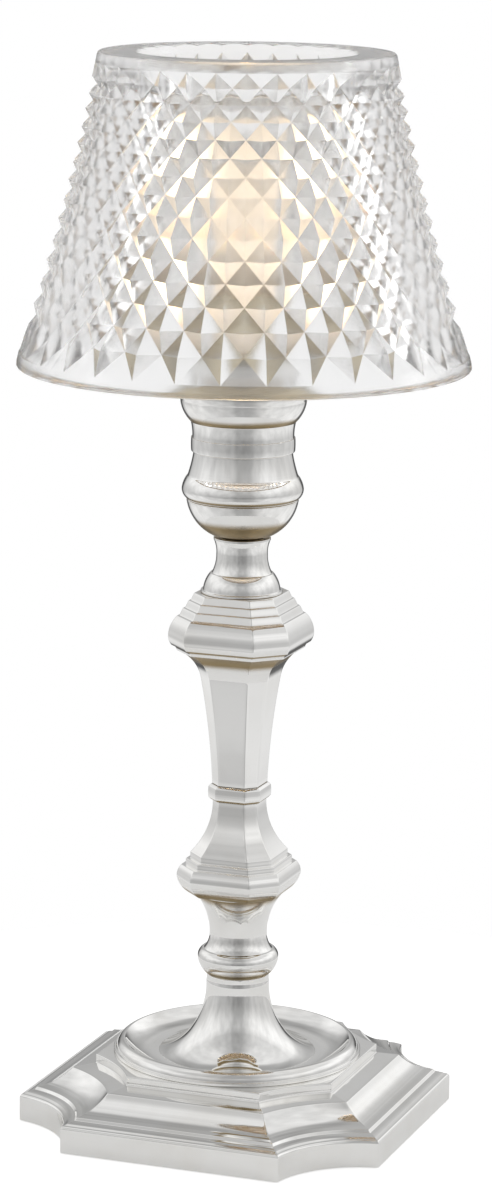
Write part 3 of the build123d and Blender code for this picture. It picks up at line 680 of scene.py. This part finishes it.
def finish_cotton():
    """Twisted cotton, charred towards its tip."""
    cotton = Finish("Cotton wick", Sheen_Weight=0.3)
    low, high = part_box("wick")
    fibre = cotton.grain((4000.0, 4000.0, 900.0))
    burnt = cotton.ramp(
        cotton.height_share(low.z, high.z) + (fibre - 0.5) * 0.1,
        (0.62, (0.82, 0.78, 0.7)), (0.76, (0.16, 0.1, 0.06)), (0.9, (0.012, 0.01, 0.009)))
    return cotton.fed(Base_Color=burnt, Roughness=0.75 + fibre * 0.2, Normal=cotton.bump(fibre, 0.08 * MM))


def finish_felt():
    """Dark green baize with matted fibres."""
    felt = Finish("Felt", Sheen_Weight=0.5, Sheen_Roughness=0.6)
    fibre = felt.grain(3200.0, 5.0, 0.7)
    patch = felt.grain(130.0)
    green = felt.mix(fibre, (0.012, 0.045, 0.03), (0.04, 0.105, 0.072))
    return felt.fed(
        Base_Color=felt.mix(patch * 0.5, green, (0.05, 0.11, 0.08)),
        Roughness=0.85 + fibre * 0.12,
        Normal=felt.bump(fibre + patch * 0.4, 0.35 * MM))


def finish_steel():
    """Brushed steel of rod, nuts, screws, cover and wick tab."""
    steel = Finish("Brushed steel", Metallic=1.0)
    brushed = steel.grain((1800.0, 60.0, 1800.0))
    return steel.fed(
        Base_Color=steel.mix(steel.grain(90.0, 4.0), (0.6, 0.6, 0.61), (0.46, 0.45, 0.44)),
        Roughness=0.28 + brushed * 0.18,
        Normal=steel.bump(brushed, 0.02 * MM))


def finish_iron():
    """Rough grey casting of the weight, with a breath of rust."""
    iron = Finish("Cast iron", Metallic=0.85)
    sand = iron.grain(900.0, 5.0, 0.65)
    rust = (iron.grain(70.0, 4.0) - 0.5) * 1.5
    return iron.fed(
        Base_Color=iron.mix(rust, (0.12, 0.115, 0.11), (0.16, 0.085, 0.05)),
        Roughness=0.6 + sand * 0.3,
        Normal=iron.bump(sand, 0.3 * MM))


def finish_silicone():
    """Milky silicone of the pads."""
    silicone = Finish("Silicone", Subsurface_Weight=0.4, Subsurface_Radius=(0.003,) * 3)
    dust = silicone.grain(700.0)
    return silicone.fed(
        Base_Color=silicone.mix(dust, (0.82, 0.82, 0.8), (0.72, 0.72, 0.7)),
        Roughness=0.45 + dust * 0.2,
        Normal=silicone.bump(dust, 0.03 * MM))


def finish_flame():
    """Light of the flame: faint blue at its root, bright yellow body, orange tip."""
    flame = bpy.context.scene.lamp_flame
    light = Finish(
        "Flame", Emission_Strength=flame.flame_strength, Base_Color=(0, 0, 0, 1), Specular_IOR_Level=0.0)
    root = flame_root()
    return light.fed(Emission_Color=light.ramp(
        light.height_share(root, root + flame.height),
        (0.0, (0.10, 0.12, 0.35)), (0.18, (0.75, 0.42, 0.16)), (0.45, (1.0, 0.86, 0.55)),
        (0.75, flame.colour), (1.0, (0.9, 0.42, 0.10))))


def finish_floor(stage):
    """Pale matt floor that stays white to the camera away from the object's shadow."""
    floor = Finish("Pale floor", Specular_IOR_Level=0.1)
    dust = floor.grain(30.0)
    rays = floor.node("ShaderNodeLightPath")
    seen = rays["Is Camera Ray"] + rays["Is Transmission Ray"] + rays["Is Glossy Ray"] * 0.3
    lift = floor.node("ShaderNodeEmission", {"Strength": seen * stage.floor_lift})
    added = floor.node("ShaderNodeAddShader", {0: Wire(floor, floor.shader.outputs[0]), 1: lift})
    floor.data.links.new(added.socket, floor.data.nodes["Material Output"].inputs["Surface"])
    return floor.fed(
        Base_Color=floor.mix(dust, stage.floor, dimmed(stage.floor, 0.98)),
        Roughness=0.7 + dust * 0.1)


# Pieces

def dress(obj, material):
    """Give an object one material."""
    obj.data.materials.clear()
    obj.data.materials.append(material)


def smooth_object(name, verts, faces, material):
    """New smooth-shaded object in the scene."""
    mesh = bpy.data.meshes.new(name)
    mesh.from_pydata(verts, [], faces)
    mesh.shade_smooth()
    mesh.materials.append(material)
    obj = bpy.data.objects.new(name, mesh)
    bpy.context.scene.collection.objects.link(obj)
    return obj


def body_of(node):
    """Body that carries a CAD node."""
    bodies = frame["record"]["behaviour"]["bodies"]
    return next(body for body, members in bodies.items() if node in members)


def place_piece(obj, node):
    """Put a finished object on the body of the CAD node that it stands for."""
    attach(obj, body_of(node))
    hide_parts(node)
    return obj


def skinned_piece(name, node, material, ring, edge, cut=None, around=None):
    """Piece with softened edges, drawn from the section of its CAD node; tarnish in hollows and painted
    shade on undersides are marked when there is an outline around it."""
    points, closed = cut or section(node)
    profile = soften(points, closed, edge)
    verts, faces, sizes = skin(profile, closed, ring)
    obj = smooth_object(name, verts, faces, material)
    if around:
        missed = tarnish_and_shade_mask(profile, closed, around)
        values = [value for value, size in zip(missed, sizes) for _ in range(size)]
        # point attribute: tarnish in hollows and painted shade on undersides
        obj.data.attributes.new("missed", "FLOAT", "POINT").data.foreach_set("value", values)
    return place_piece(obj, node)


def bevelled_piece(name, node, material, edge):
    """Copy of a flat-sided CAD node with its triangles joined and its edges broken."""
    solid = merged_solid(node)
    bmesh.ops.dissolve_limit(solid, angle_limit=FLAT_TURN, verts=solid.verts, edges=solid.edges)
    obj = smooth_object(name, [], [], material)
    solid.to_mesh(obj.data)
    solid.free()
    obj.data.shade_smooth()
    obj.data.set_sharp_from_angle(angle=SHARP_TURN)
    bevel = obj.modifiers.new("Broken edges", "BEVEL")
    bevel.width = edge
    bevel.segments = BEVEL_STEPS
    bevel.limit_method = "ANGLE"
    bevel.angle_limit = SHARP_TURN
    bevel.harden_normals = True
    return place_piece(obj, node)


class LAMP_OT_silver_stick(bpy.types.Operator):
    """Polished silver pieces of the candlestick, turned, eight-sided and notched"""
    bl_idname = "lamp.silver_stick"
    bl_label = "Silver stick"

    def execute(self, context):
        edge = context.scene.lamp_silver.edge
        material = finish_silver()
        around = stem_outline()
        foot = section("base_foot", beside=FOOT_CUT)
        skinned_piece("silver_base_foot", "base_foot", material, notched_ring(), edge, foot)
        skinned_piece("silver_well_dish", "well_dish", material, round_ring, edge)
        for node in STICK_ROUND + STICK_EIGHT:
            ring = round_ring if node in STICK_ROUND else eight_ring(node)
            skinned_piece("silver_" + node, node, material, ring, edge, None, around)
        return {"FINISHED"}


class LAMP_OT_inner_works(bpy.types.Operator):
    """Weight, cover, felt, rod and fasteners inside and under the candlestick"""
    bl_idname = "lamp.inner_works"
    bl_label = "Inner works"

    def execute(self, context):
        steel = finish_steel()
        for node in ("base_cover", "cover_screws", "tie_rod", "rod_washer", "bottom_nut", "socket_nut"):
            dress(frame["nodes"][node], steel)
        dress(frame["nodes"]["base_weight"], finish_iron())
        skinned_piece("brass_liner", "socket_liner", finish_brass(), round_ring, THIN_EDGE)
        ring = notched_ring()
        low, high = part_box("felt_pad")
        felt = [Vector(point) for point in ((0, low.z), (high.x, low.z), (high.x, high.z), (0, high.z))]
        sole = skinned_piece("felt_sole", "felt_pad", finish_felt(), ring, THIN_EDGE, (felt, False))
        cut_area = abs(swept_area([Vector(point) for point in ring(high.x)]))
        return {"FINISHED"}


class LAMP_OT_gallery(bpy.types.Operator):
    """Peg, bowl, screw and pan that carry the candle and the chimney"""
    bl_idname = "lamp.gallery"
    bl_label = "Gallery"

    def execute(self, context):
        brass = finish_brass()
        for node in ("gallery_peg", "gallery_bowl", "gallery_pan", "gallery_screw"):
            skinned_piece("brass_" + node, node, brass, round_ring, THIN_EDGE)
        return {"FINISHED"}


class LAMP_OT_chimney(bpy.types.Operator):
    """Frosted glass chimney"""
    bl_idname = "lamp.chimney"
    bl_label = "Chimney"

    def execute(self, context):
        glass = finish_frosted()
        skinned_piece("frosted_chimney", "chimney_glass", glass, round_ring, THIN_EDGE)
        return {"FINISHED"}


class LAMP_OT_carrier(bpy.types.Operator):
    """Ring, arms, rivets and pads that carry the shade"""
    bl_idname = "lamp.carrier"
    bl_label = "Shade carrier"

    def execute(self, context):
        silver = finish_silver()
        clear_of_rivets = math.pi / 3
        ring = section("carrier_ring", clear_of_rivets)
        skinned_piece("silver_carrier_ring", "carrier_ring", silver, round_ring, THIN_EDGE, ring)
        for number in (1, 2, 3):
            node = f"carrier_arm_{number}"
            bevelled_piece("silver_" + node, node, silver, ARM_EDGE)
        bevelled_piece("brass_rivets", "carrier_rivets", finish_brass(), RIVET_EDGE)
        bevelled_piece("soft_pads", "carrier_pads", finish_silicone(), PAD_EDGE)
        return {"FINISHED"}


# Cut-crystal shade

SHADE_COUNTS = ["Pyramids", "Half rows"]
SHADE_SIZES = ["Row shrink", "Turn", "Cut depth", "Bottom radius", "Top radius", "Flare", "Lower band",
               "Upper band"]
INNER_STEPS = 12


def crest_radius(bottom, top, flare, share):
    """Radius of the pyramid points on the hollow cone at a share of its height, from numbers or wires."""
    return bottom + (top - bottom) * share - 4 * flare * share * (1 - share)


def shade_section(crystal, low, high):
    """Plain parts of the shade: from the pattern over the rim, down inside and round the lower edge."""
    def crest(z):
        share = (z - low) / (high - low)
        return crest_radius(crystal.bottom_radius, crystal.top_radius, crystal.flare, share)

    pattern_low, pattern_high = low + crystal.lower_band, high - crystal.upper_band
    shoulder = high - crystal.top_thickness
    points = [(crest(pattern_high), pattern_high), (crystal.top_radius, high),
              (crystal.hole_radius, high), (crystal.hole_radius, shoulder)]
    levels = [shoulder + (low - shoulder) * step / INNER_STEPS for step in range(INNER_STEPS + 1)]
    points += [(crest(z) - crystal.wall, z) for z in levels]
    points += [(crest(low + crystal.edge), low), (crest(pattern_low), pattern_low)]
    return soften([Vector(point) for point in points], False, crystal.edge)


def start_shape(name, counts, sizes, result):
    """New geometry tree with its named inputs: a starting mesh, counts, sizes and a material."""
    group = bpy.data.node_groups.new(name, "GeometryNodeTree")
    inputs = {"Geometry": ["Start"], "Int": counts, "Float": sizes, "Material": ["Material"]}
    for kind, names in inputs.items():
        for socket in names:
            group.interface.new_socket(name=socket, in_out="INPUT", socket_type="NodeSocket" + kind)
    group.interface.new_socket(name=result, in_out="OUTPUT", socket_type="NodeSocketGeometry")
    tree = Tree(group)
    return tree, tree.node("NodeGroupInput")


def end_shape(tree, given, shape, result):
    """Make the copies in a shape real, set its material and give the finished tree."""
    real = tree.node("GeometryNodeRealizeInstances", {"Geometry": shape})
    dressed = tree.node("GeometryNodeSetMaterial", {"Geometry": real, "Material": given["Material"]})
    tree.node("NodeGroupOutput", {result: dressed})
    return tree.data


def shade_tree():
    """Geometry nodes that spin the plain section of the shade and cover its side with pyramids."""
    tree, given = start_shape("Cut crystal shade", SHADE_COUNTS, SHADE_SIZES + ["Low", "Height"], "Shade")
    both = tree.node("GeometryNodeJoinGeometry", {
        "Geometry": [spun_section(tree, given), pyramid_skin(tree, given)]})
    joined = tree.node("GeometryNodeMergeByDistance", {"Geometry": both, "Distance": SEAM_JOIN})
    return end_shape(tree, given, joined, "Shade")


def moved(tree, shape, radius, angle, height, smooth):
    """Shape with its points at a radius, an angle and a height, shaded smooth or flat."""
    place = tree.join(X=radius * angle.math("COSINE"), Y=radius * angle.math("SINE"), Z=height)
    bent = tree.node("GeometryNodeSetPosition", {"Geometry": shape, "Position": place})
    return tree.node("GeometryNodeSetShadeSmooth", {"Geometry": bent, "Shade Smooth": smooth})


def without(tree, shape, chosen):
    """Shape less its chosen points."""
    return tree.node("GeometryNodeDeleteGeometry", {"Geometry": shape, "Selection": chosen}, domain="POINT")


def spun_section(tree, given):
    """Smooth skin round the axis through the points of the section."""
    line = given["Start"]
    count = tree.node("GeometryNodeAttributeDomainSize", {"Geometry": line}, component="MESH")
    sheet = tree.node("GeometryNodeMeshGrid", {
        "Size X": 1.0, "Size Y": 1.0, "Vertices X": given["Pyramids"] * 2 + 1, "Vertices Y": count})
    position = tree.node("GeometryNodeInputPosition")
    spot = tree.split(position)
    row = ((spot["Y"] + 0.5) * (count - 1)).math("ROUND")
    sampled = {"Geometry": line, "Value": position, "Index": row}
    point = tree.node("GeometryNodeSampleIndex", sampled, data_type="FLOAT_VECTOR", domain="POINT")
    parts = tree.split(point)
    angle = given["Turn"] + (spot["X"] + 0.5) * math.tau
    return moved(tree, sheet, parts["X"], angle, parts["Z"], True)


def pyramid_skin(tree, given):
    """Flat-faced pyramids on a lattice of half steps and half rows, bent round the cone."""
    around = given["Pyramids"] * 2
    rows = given["Half rows"]
    lattice = tree.node("GeometryNodeMeshGrid", {
        "Size X": around - 1, "Size Y": rows, "Vertices X": around, "Vertices Y": rows + 1})
    spot = tree.split(tree.node("GeometryNodeInputPosition"))
    step = spot["X"] + (around - 1) * 0.5
    row = spot["Y"] + rows * 0.5
    crossing = 1 - (step + row).math("ROUND").math("FLOORED_MODULO", 2.0)
    points = without(tree, lattice, crossing)
    pyramid = tree.node("GeometryNodeMeshCircle", {"Vertices": 4, "Radius": 1.0}, fill_type="TRIANGLE_FAN")
    copies = tree.node("GeometryNodeInstanceOnPoints", {"Points": points, "Instance": pyramid})
    flat = tree.node("GeometryNodeRealizeInstances", {"Geometry": copies})
    outside = row.math("LESS_THAN", -0.5) + row.math("GREATER_THAN", rows + 0.5)
    trimmed = without(tree, flat, outside)
    inner = row.math("GREATER_THAN", 0.5) * row.math("LESS_THAN", rows - 0.5)
    shrink = given["Row shrink"]
    climbed = (1 - shrink ** row) / (1 - shrink ** rows)
    rise = given["Lower band"] + (given["Height"] - given["Lower band"] - given["Upper band"]) * climbed
    share = rise / given["Height"]
    crest = crest_radius(given["Bottom radius"], given["Top radius"], given["Flare"], share)
    radius = crest - given["Cut depth"] * crossing * inner
    angle = given["Turn"] + step * math.pi / given["Pyramids"]
    return moved(tree, trimmed, radius, angle, given["Low"] + rise, False)


def grown_piece(name, start, group, values):
    """Plain mesh made by a shape tree from a starting mesh, with the tree's inputs set by identifier."""
    obj = bpy.data.objects.new(name, start)
    bpy.context.scene.collection.objects.link(obj)
    grow = obj.modifiers.new("Shape", "NODES")
    grow.node_group = group
    for item in group.interface.items_tree:
        if item.in_out == "INPUT" and item.name in values:
            grow[item.identifier] = values[item.name]
    bpy.context.view_layer.update()
    grown = obj.evaluated_get(bpy.context.evaluated_depsgraph_get())
    mesh = bpy.data.meshes.new_from_object(grown)
    obj.modifiers.remove(grow)
    obj.data = mesh
    mesh.name = name
    return obj


class LAMP_OT_crystal_shade(bpy.types.Operator):
    """Cut-crystal shade: a thick hollow cone covered with pyramids"""
    bl_idname = "lamp.crystal_shade"
    bl_label = "Crystal shade"

    def execute(self, context):
        crystal = context.scene.lamp_crystal
        low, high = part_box("glass_shade")
        points = shade_section(crystal, low.z, high.z)
        line = bpy.data.meshes.new("shade_section")
        steps = [(i, i + 1) for i in range(len(points) - 1)]
        line.from_pydata([(point.x, 0, point.y) for point in points], steps, [])
        values = {"Low": low.z, "Height": high.z - low.z, "Material": finish_crystal()}
        for name in SHADE_COUNTS + SHADE_SIZES:
            values[name] = getattr(crystal, name.lower().replace(" ", "_"))
        place_piece(grown_piece("crystal_shade", line, shade_tree(), values), "glass_shade")
        return {"FINISHED"}


# Tealight

FLUTES = 36                   # in the wall of the foil cup
FLUTE_DEPTH = 0.18 * MM
FLUTES_START, FLUTES_SPAN = 0.9, 0.06  # shares of the cup's radius: where they begin, and deepen
WICK_STRANDS = 3
WICK_TURNS = 3.0              # of a strand from end to end
TURN_STEPS = 16               # points in one turn of a strand
STRAND_STEPS = 8              # points round a strand
FLAME_STEPS = 28
FLAME_LOW, FLAME_SLIM = 0.72, 1.15  # powers that set the flame's belly low and slim its ends


def flame_root():
    """Height at which the flame starts, below the tip of the wick."""
    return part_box("wick")[1].z - bpy.context.scene.lamp_flame.sunk


def foil_ring(radius):
    """Rule for the rings of the foil cup, fluted towards its wall."""
    def ring(reach):
        near_wall = max(0.0, min(1.0, (reach / radius - FLUTES_START) / FLUTES_SPAN))
        drawn = []
        for x, y in circle(1.0, 4 * FLUTES):
            wave = 0.5 + 0.5 * math.cos(FLUTES * math.atan2(y, x))
            wide = reach - FLUTE_DEPTH * near_wall * wave
            drawn.append((wide * x, wide * y))
        return drawn
    return ring


def wick_tree():
    """Geometry nodes that twist strands of cotton round the axis."""
    tree, given = start_shape("Twisted wick", ["Strands"], ["Turns", "Radius", "Low", "Height"], "Wick")
    half = given["Radius"] * 0.5
    path = tree.node("GeometryNodeCurveSpiral", {
        "Resolution": TURN_STEPS, "Rotations": given["Turns"], "Start Radius": half, "End Radius": half,
        "Height": given["Height"]})
    round_end = tree.node("GeometryNodeCurvePrimitiveCircle", {"Resolution": STRAND_STEPS, "Radius": half})
    strand = tree.node("GeometryNodeCurveToMesh", {
        "Curve": path, "Profile Curve": round_end, "Fill Caps": True})
    spots = tree.node("GeometryNodeMeshLine", {
        "Count": given["Strands"], "Offset": (0.0, 0.0, 0.0), "Start Location": tree.join(Z=given["Low"])})
    angle = tree.node("GeometryNodeInputIndex") * math.tau / given["Strands"]
    copies = tree.node("GeometryNodeInstanceOnPoints", {
        "Points": spots, "Instance": strand, "Rotation": tree.join(Z=angle)})
    return end_shape(tree, given, copies, "Wick")


class LAMP_OT_tealight(bpy.types.Operator):
    """Foil cup, wax, tab and twisted wick"""
    bl_idname = "lamp.tealight"
    bl_label = "Tealight"

    def execute(self, context):
        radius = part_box("tealight_cup")[1].x
        skinned_piece("foil_cup", "tealight_cup", finish_foil(), foil_ring(radius), FOIL_EDGE)
        skinned_piece("wax_fill", "tealight_wax", finish_wax(), round_ring, WAX_EDGE)
        bevelled_piece("foil_tab", "wick_tab", finish_steel(), FOIL_EDGE)
        low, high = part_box("wick")
        wick = grown_piece("twisted_wick", bpy.data.meshes.new("wick_start"), wick_tree(), {
            "Strands": WICK_STRANDS, "Turns": WICK_TURNS, "Radius": high.x, "Low": low.z,
            "Height": high.z - low.z, "Material": finish_cotton()})
        wick.data.shade_smooth()
        place_piece(wick, "wick")
        return {"FINISHED"}


class LAMP_OT_flame(bpy.types.Operator):
    """Still flame on the wick"""
    bl_idname = "lamp.flame"
    bl_label = "Flame"

    def execute(self, context):
        flame = context.scene.lamp_flame
        root = flame_root()
        profile = []
        for step in range(FLAME_STEPS + 1):
            share = step / FLAME_STEPS
            swell = math.sin(math.pi * share ** FLAME_LOW) ** FLAME_SLIM
            profile.append(Vector((flame.radius * swell, root + flame.height * share)))
        verts, faces, _ = skin(profile, False, round_ring)
        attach(smooth_object("candle_flame", verts, faces, finish_flame()), body_of("wick"))
        return {"FINISHED"}


# Stage

FRAME_WIDTH = 36              # of the camera's picture, in millimetres
FLOOR_STEPS = 96
BOX_DISTANCE = 1.3
BOX_HEIGHT = 0.8
BOX_RISE = math.radians(18)
# soft boxes: name, degrees round the lamp from the camera, width and share of the power
SOFT_BOXES = [("soft_box_right", 100, 0.35, 1.0), ("soft_box_left", -82, 0.3, 0.6)]
TENT_LEVEL = 1.1              # brightness of the whole tent


def tent_wall(stage):
    """Grey of the tent's wall at degrees round the lamp from the camera, the left below zero."""
    left, front, right = stage.tent_left, stage.tent_front, stage.tent_right
    return [
        (-180, 0.52), (-165, 0.52), (-150, 0.76), (-136, left), (-100, left), (-84, 0.88), (-66, 0.74),
        (-40, 0.66), (-22, 0.58), (-14, front), (14, front), (22, 0.56), (40, 0.74), (50, 0.84),
        (90, 0.9), (112, right), (146, right), (168, 0.52), (180, 0.52)]


# gaps behind the side panels at degrees round the lamp, 1 where the tent is open, most so below the horizon
TENT_GAPS = [(-172, 0), (-164, 1), (-156, 1), (-148, 0), (148, 0), (155, 1), (164, 1), (172, 0)]


def tent_ceiling(stage):
    """Grey of the tent from straight below, at 0, over the horizon, at 0.5, to straight above, at 1."""
    seam = stage.tent_seam
    return [
        (0.0, 0.8), (0.3, 0.84), (0.36, 0.74), (0.41, 0.58), (0.5, 0.6), (0.58, 0.74), (0.68, 0.95),
        (0.76, 1.0), (0.81, 0.85), (0.83, seam), (0.86, seam), (0.89, 0.75), (1.0, 0.8)]


def tent_world(stage):
    """White behind the lamp; round it bright side panels with dark gaps, a grey front and a ceiling."""
    world = bpy.data.worlds.new("Light tent")
    world.use_nodes = True
    world.node_tree.nodes.clear()
    tree = Tree(world.node_tree)
    towards = tree.node("ShaderNodeTexCoord")
    away = level(stage.azimuth + math.pi / 2)

    def along(direction):
        return tree.vector("DOT_PRODUCT", towards, tuple(direction))["Value"]

    def greys(value, stops):
        return tree.ramp(value, *[(place, (grey,) * 3) for place, grey in stops])

    def turned(stops):
        return [(0.5 + degrees / 360, grey) for degrees, grey in stops]

    round_share = along(level(stage.azimuth)).math("ARCTAN2", 0 - along(away)) / math.tau + 0.5
    rise = along((0.0, 0.0, 1.0))
    wall = greys(round_share, turned(tent_wall(stage)))
    gap_depth = tree.smooth(rise, 0.0, 0.2, 1 - stage.tent_gap, 0.25)
    gaps = greys(round_share, turned(TENT_GAPS)) * gap_depth
    ceiling = greys(rise * 0.5 + 0.5, tent_ceiling(stage)) * TENT_LEVEL
    folds = tree.noise(towards, (5.0, 5.0, 3.0), 2.0)
    tent = wall * (1 - gaps) * ceiling * (1 + (folds - 0.5) * stage.tent_folds)

    # the camera sees white, also through glass, where it is a little darker away from straight behind
    rays = tree.node("ShaderNodeLightPath")
    behind = tree.smooth(along((away.x, away.y, -0.2)), 0.55, 0.95, 0.9, 1.0)
    white = rays["Is Camera Ray"].math("MAXIMUM", rays["Is Transmission Ray"] * behind)
    shown = tent + (1 - tent) * white

    # silver that mirrors what is overhead through the lit shade takes on its warm colour
    overhead = tree.smooth(rise, 0.55, 0.8, 0.0, 1.0)
    mirrored = rays["Glossy Depth"].math("COMPARE", 2.0, 1.1)
    through = rays["Transmission Depth"].math("MINIMUM", 1.0)
    colour = tree.mix(overhead * mirrored * through, (1.0, 1.0, 1.0), stage.warm)
    glow = tree.node("ShaderNodeBackground", {"Color": colour, "Strength": shown})
    tree.node("ShaderNodeOutputWorld", {"Surface": glow})
    return world


def soft_box(stage, name, degrees, width, power_share):
    """Upright soft light that faces the middle of the lamp and leaves no mirror image."""
    light = bpy.data.lights.new(name, "AREA")
    light.shape = "RECTANGLE"
    light.size, light.size_y = width, BOX_HEIGHT
    light.energy = power_share * stage.box_power
    obj = bpy.data.objects.new(name, light)
    outward = level(stage.azimuth + math.radians(degrees) - math.pi / 2) * math.cos(BOX_RISE)
    offset = Vector((outward.x, outward.y, math.sin(BOX_RISE))) * BOX_DISTANCE
    obj.location = Vector((0, 0, (CAD_BOX[0].z + CAD_BOX[1].z) / 2)) + offset
    obj.rotation_euler = offset.to_track_quat("Z", "Y").to_euler()
    obj.visible_glossy = False
    bpy.context.scene.collection.objects.link(obj)


def place_camera(scene, stage):
    """Camera of the picture: where it stands and how it is turned."""
    lens = bpy.data.cameras.new("camera")
    lens.lens = stage.lens
    lens.sensor_width = FRAME_WIDTH
    camera = bpy.data.objects.new("camera", lens)
    scene.collection.objects.link(camera)
    back = level(stage.azimuth - math.pi / 2) * stage.distance
    aside = level(stage.azimuth) * stage.aside
    turn = (Matrix.Rotation(stage.azimuth, 4, "Z") @ Matrix.Rotation(math.pi / 2 - stage.pitch, 4, "X")
            @ Matrix.Rotation(stage.roll, 4, "Z"))
    camera.matrix_world = Matrix.Translation(back + aside + Vector((0, 0, stage.height))) @ turn
    scene.camera = camera


class LAMP_OT_stage(bpy.types.Operator):
    """Floor, light tent, soft boxes and the camera"""
    bl_idname = "lamp.stage"
    bl_label = "Stage"

    def execute(self, context):
        scene = context.scene
        stage = scene.lamp_stage
        scene.view_settings.view_transform = "Standard"
        scene.world = tent_world(stage)
        rim = [(x, y, -FLOOR_GAP) for x, y in circle(stage.floor_radius, FLOOR_STEPS)]
        smooth_object("floor", rim, [tuple(range(FLOOR_STEPS))], finish_floor(stage))
        for box in SOFT_BOXES:
            soft_box(stage, *box)
        place_camera(scene, stage)
        return {"FINISHED"}


class LAMP_PT_panel(bpy.types.Panel):
    """Steps and settings of the candle lamp"""
    bl_idname = "LAMP_PT_panel"
    bl_label = "Candle Lamp"
    bl_space_type = "VIEW_3D"
    bl_region_type = "UI"
    bl_category = "Candle Lamp"

    def draw(self, context):
        for operator in OPERATORS:
            self.layout.operator(operator.bl_idname)
        for name in SETTINGS:
            group = getattr(context.scene, name)
            column = self.layout.column(heading=name.replace("lamp_", "").title())
            for setting in group.bl_rna.properties:
                if setting.identifier not in ("rna_type", "name"):
                    column.prop(group, setting.identifier)


OPERATORS = (
    LAMP_OT_silver_stick, LAMP_OT_inner_works, LAMP_OT_gallery, LAMP_OT_chimney, LAMP_OT_carrier,
    LAMP_OT_crystal_shade, LAMP_OT_tealight, LAMP_OT_flame, LAMP_OT_stage,
)
SETTINGS = {
    "lamp_silver": LampSilver, "lamp_crystal": LampCrystal,
    "lamp_flame": LampFlame, "lamp_stage": LampStage,
}


def register():
    """Register settings, steps and panel."""
    for name, group in SETTINGS.items():
        bpy.utils.register_class(group)
        setattr(bpy.types.Scene, name, bpy.props.PointerProperty(type=group))
    for operator in OPERATORS:
        bpy.utils.register_class(operator)
    bpy.utils.register_class(LAMP_PT_panel)


def unregister():
    """Undo register."""
    bpy.utils.unregister_class(LAMP_PT_panel)
    for operator in reversed(OPERATORS):
        bpy.utils.unregister_class(operator)
    for name, group in SETTINGS.items():
        delattr(bpy.types.Scene, name)
        bpy.utils.unregister_class(group)


def main():
    """Dress the lamp step by step."""
    register()
    for operator in OPERATORS:
        family, step = operator.bl_idname.split(".")
        getattr(getattr(bpy.ops, family), step)()


if __name__ == "__main__":
    main()
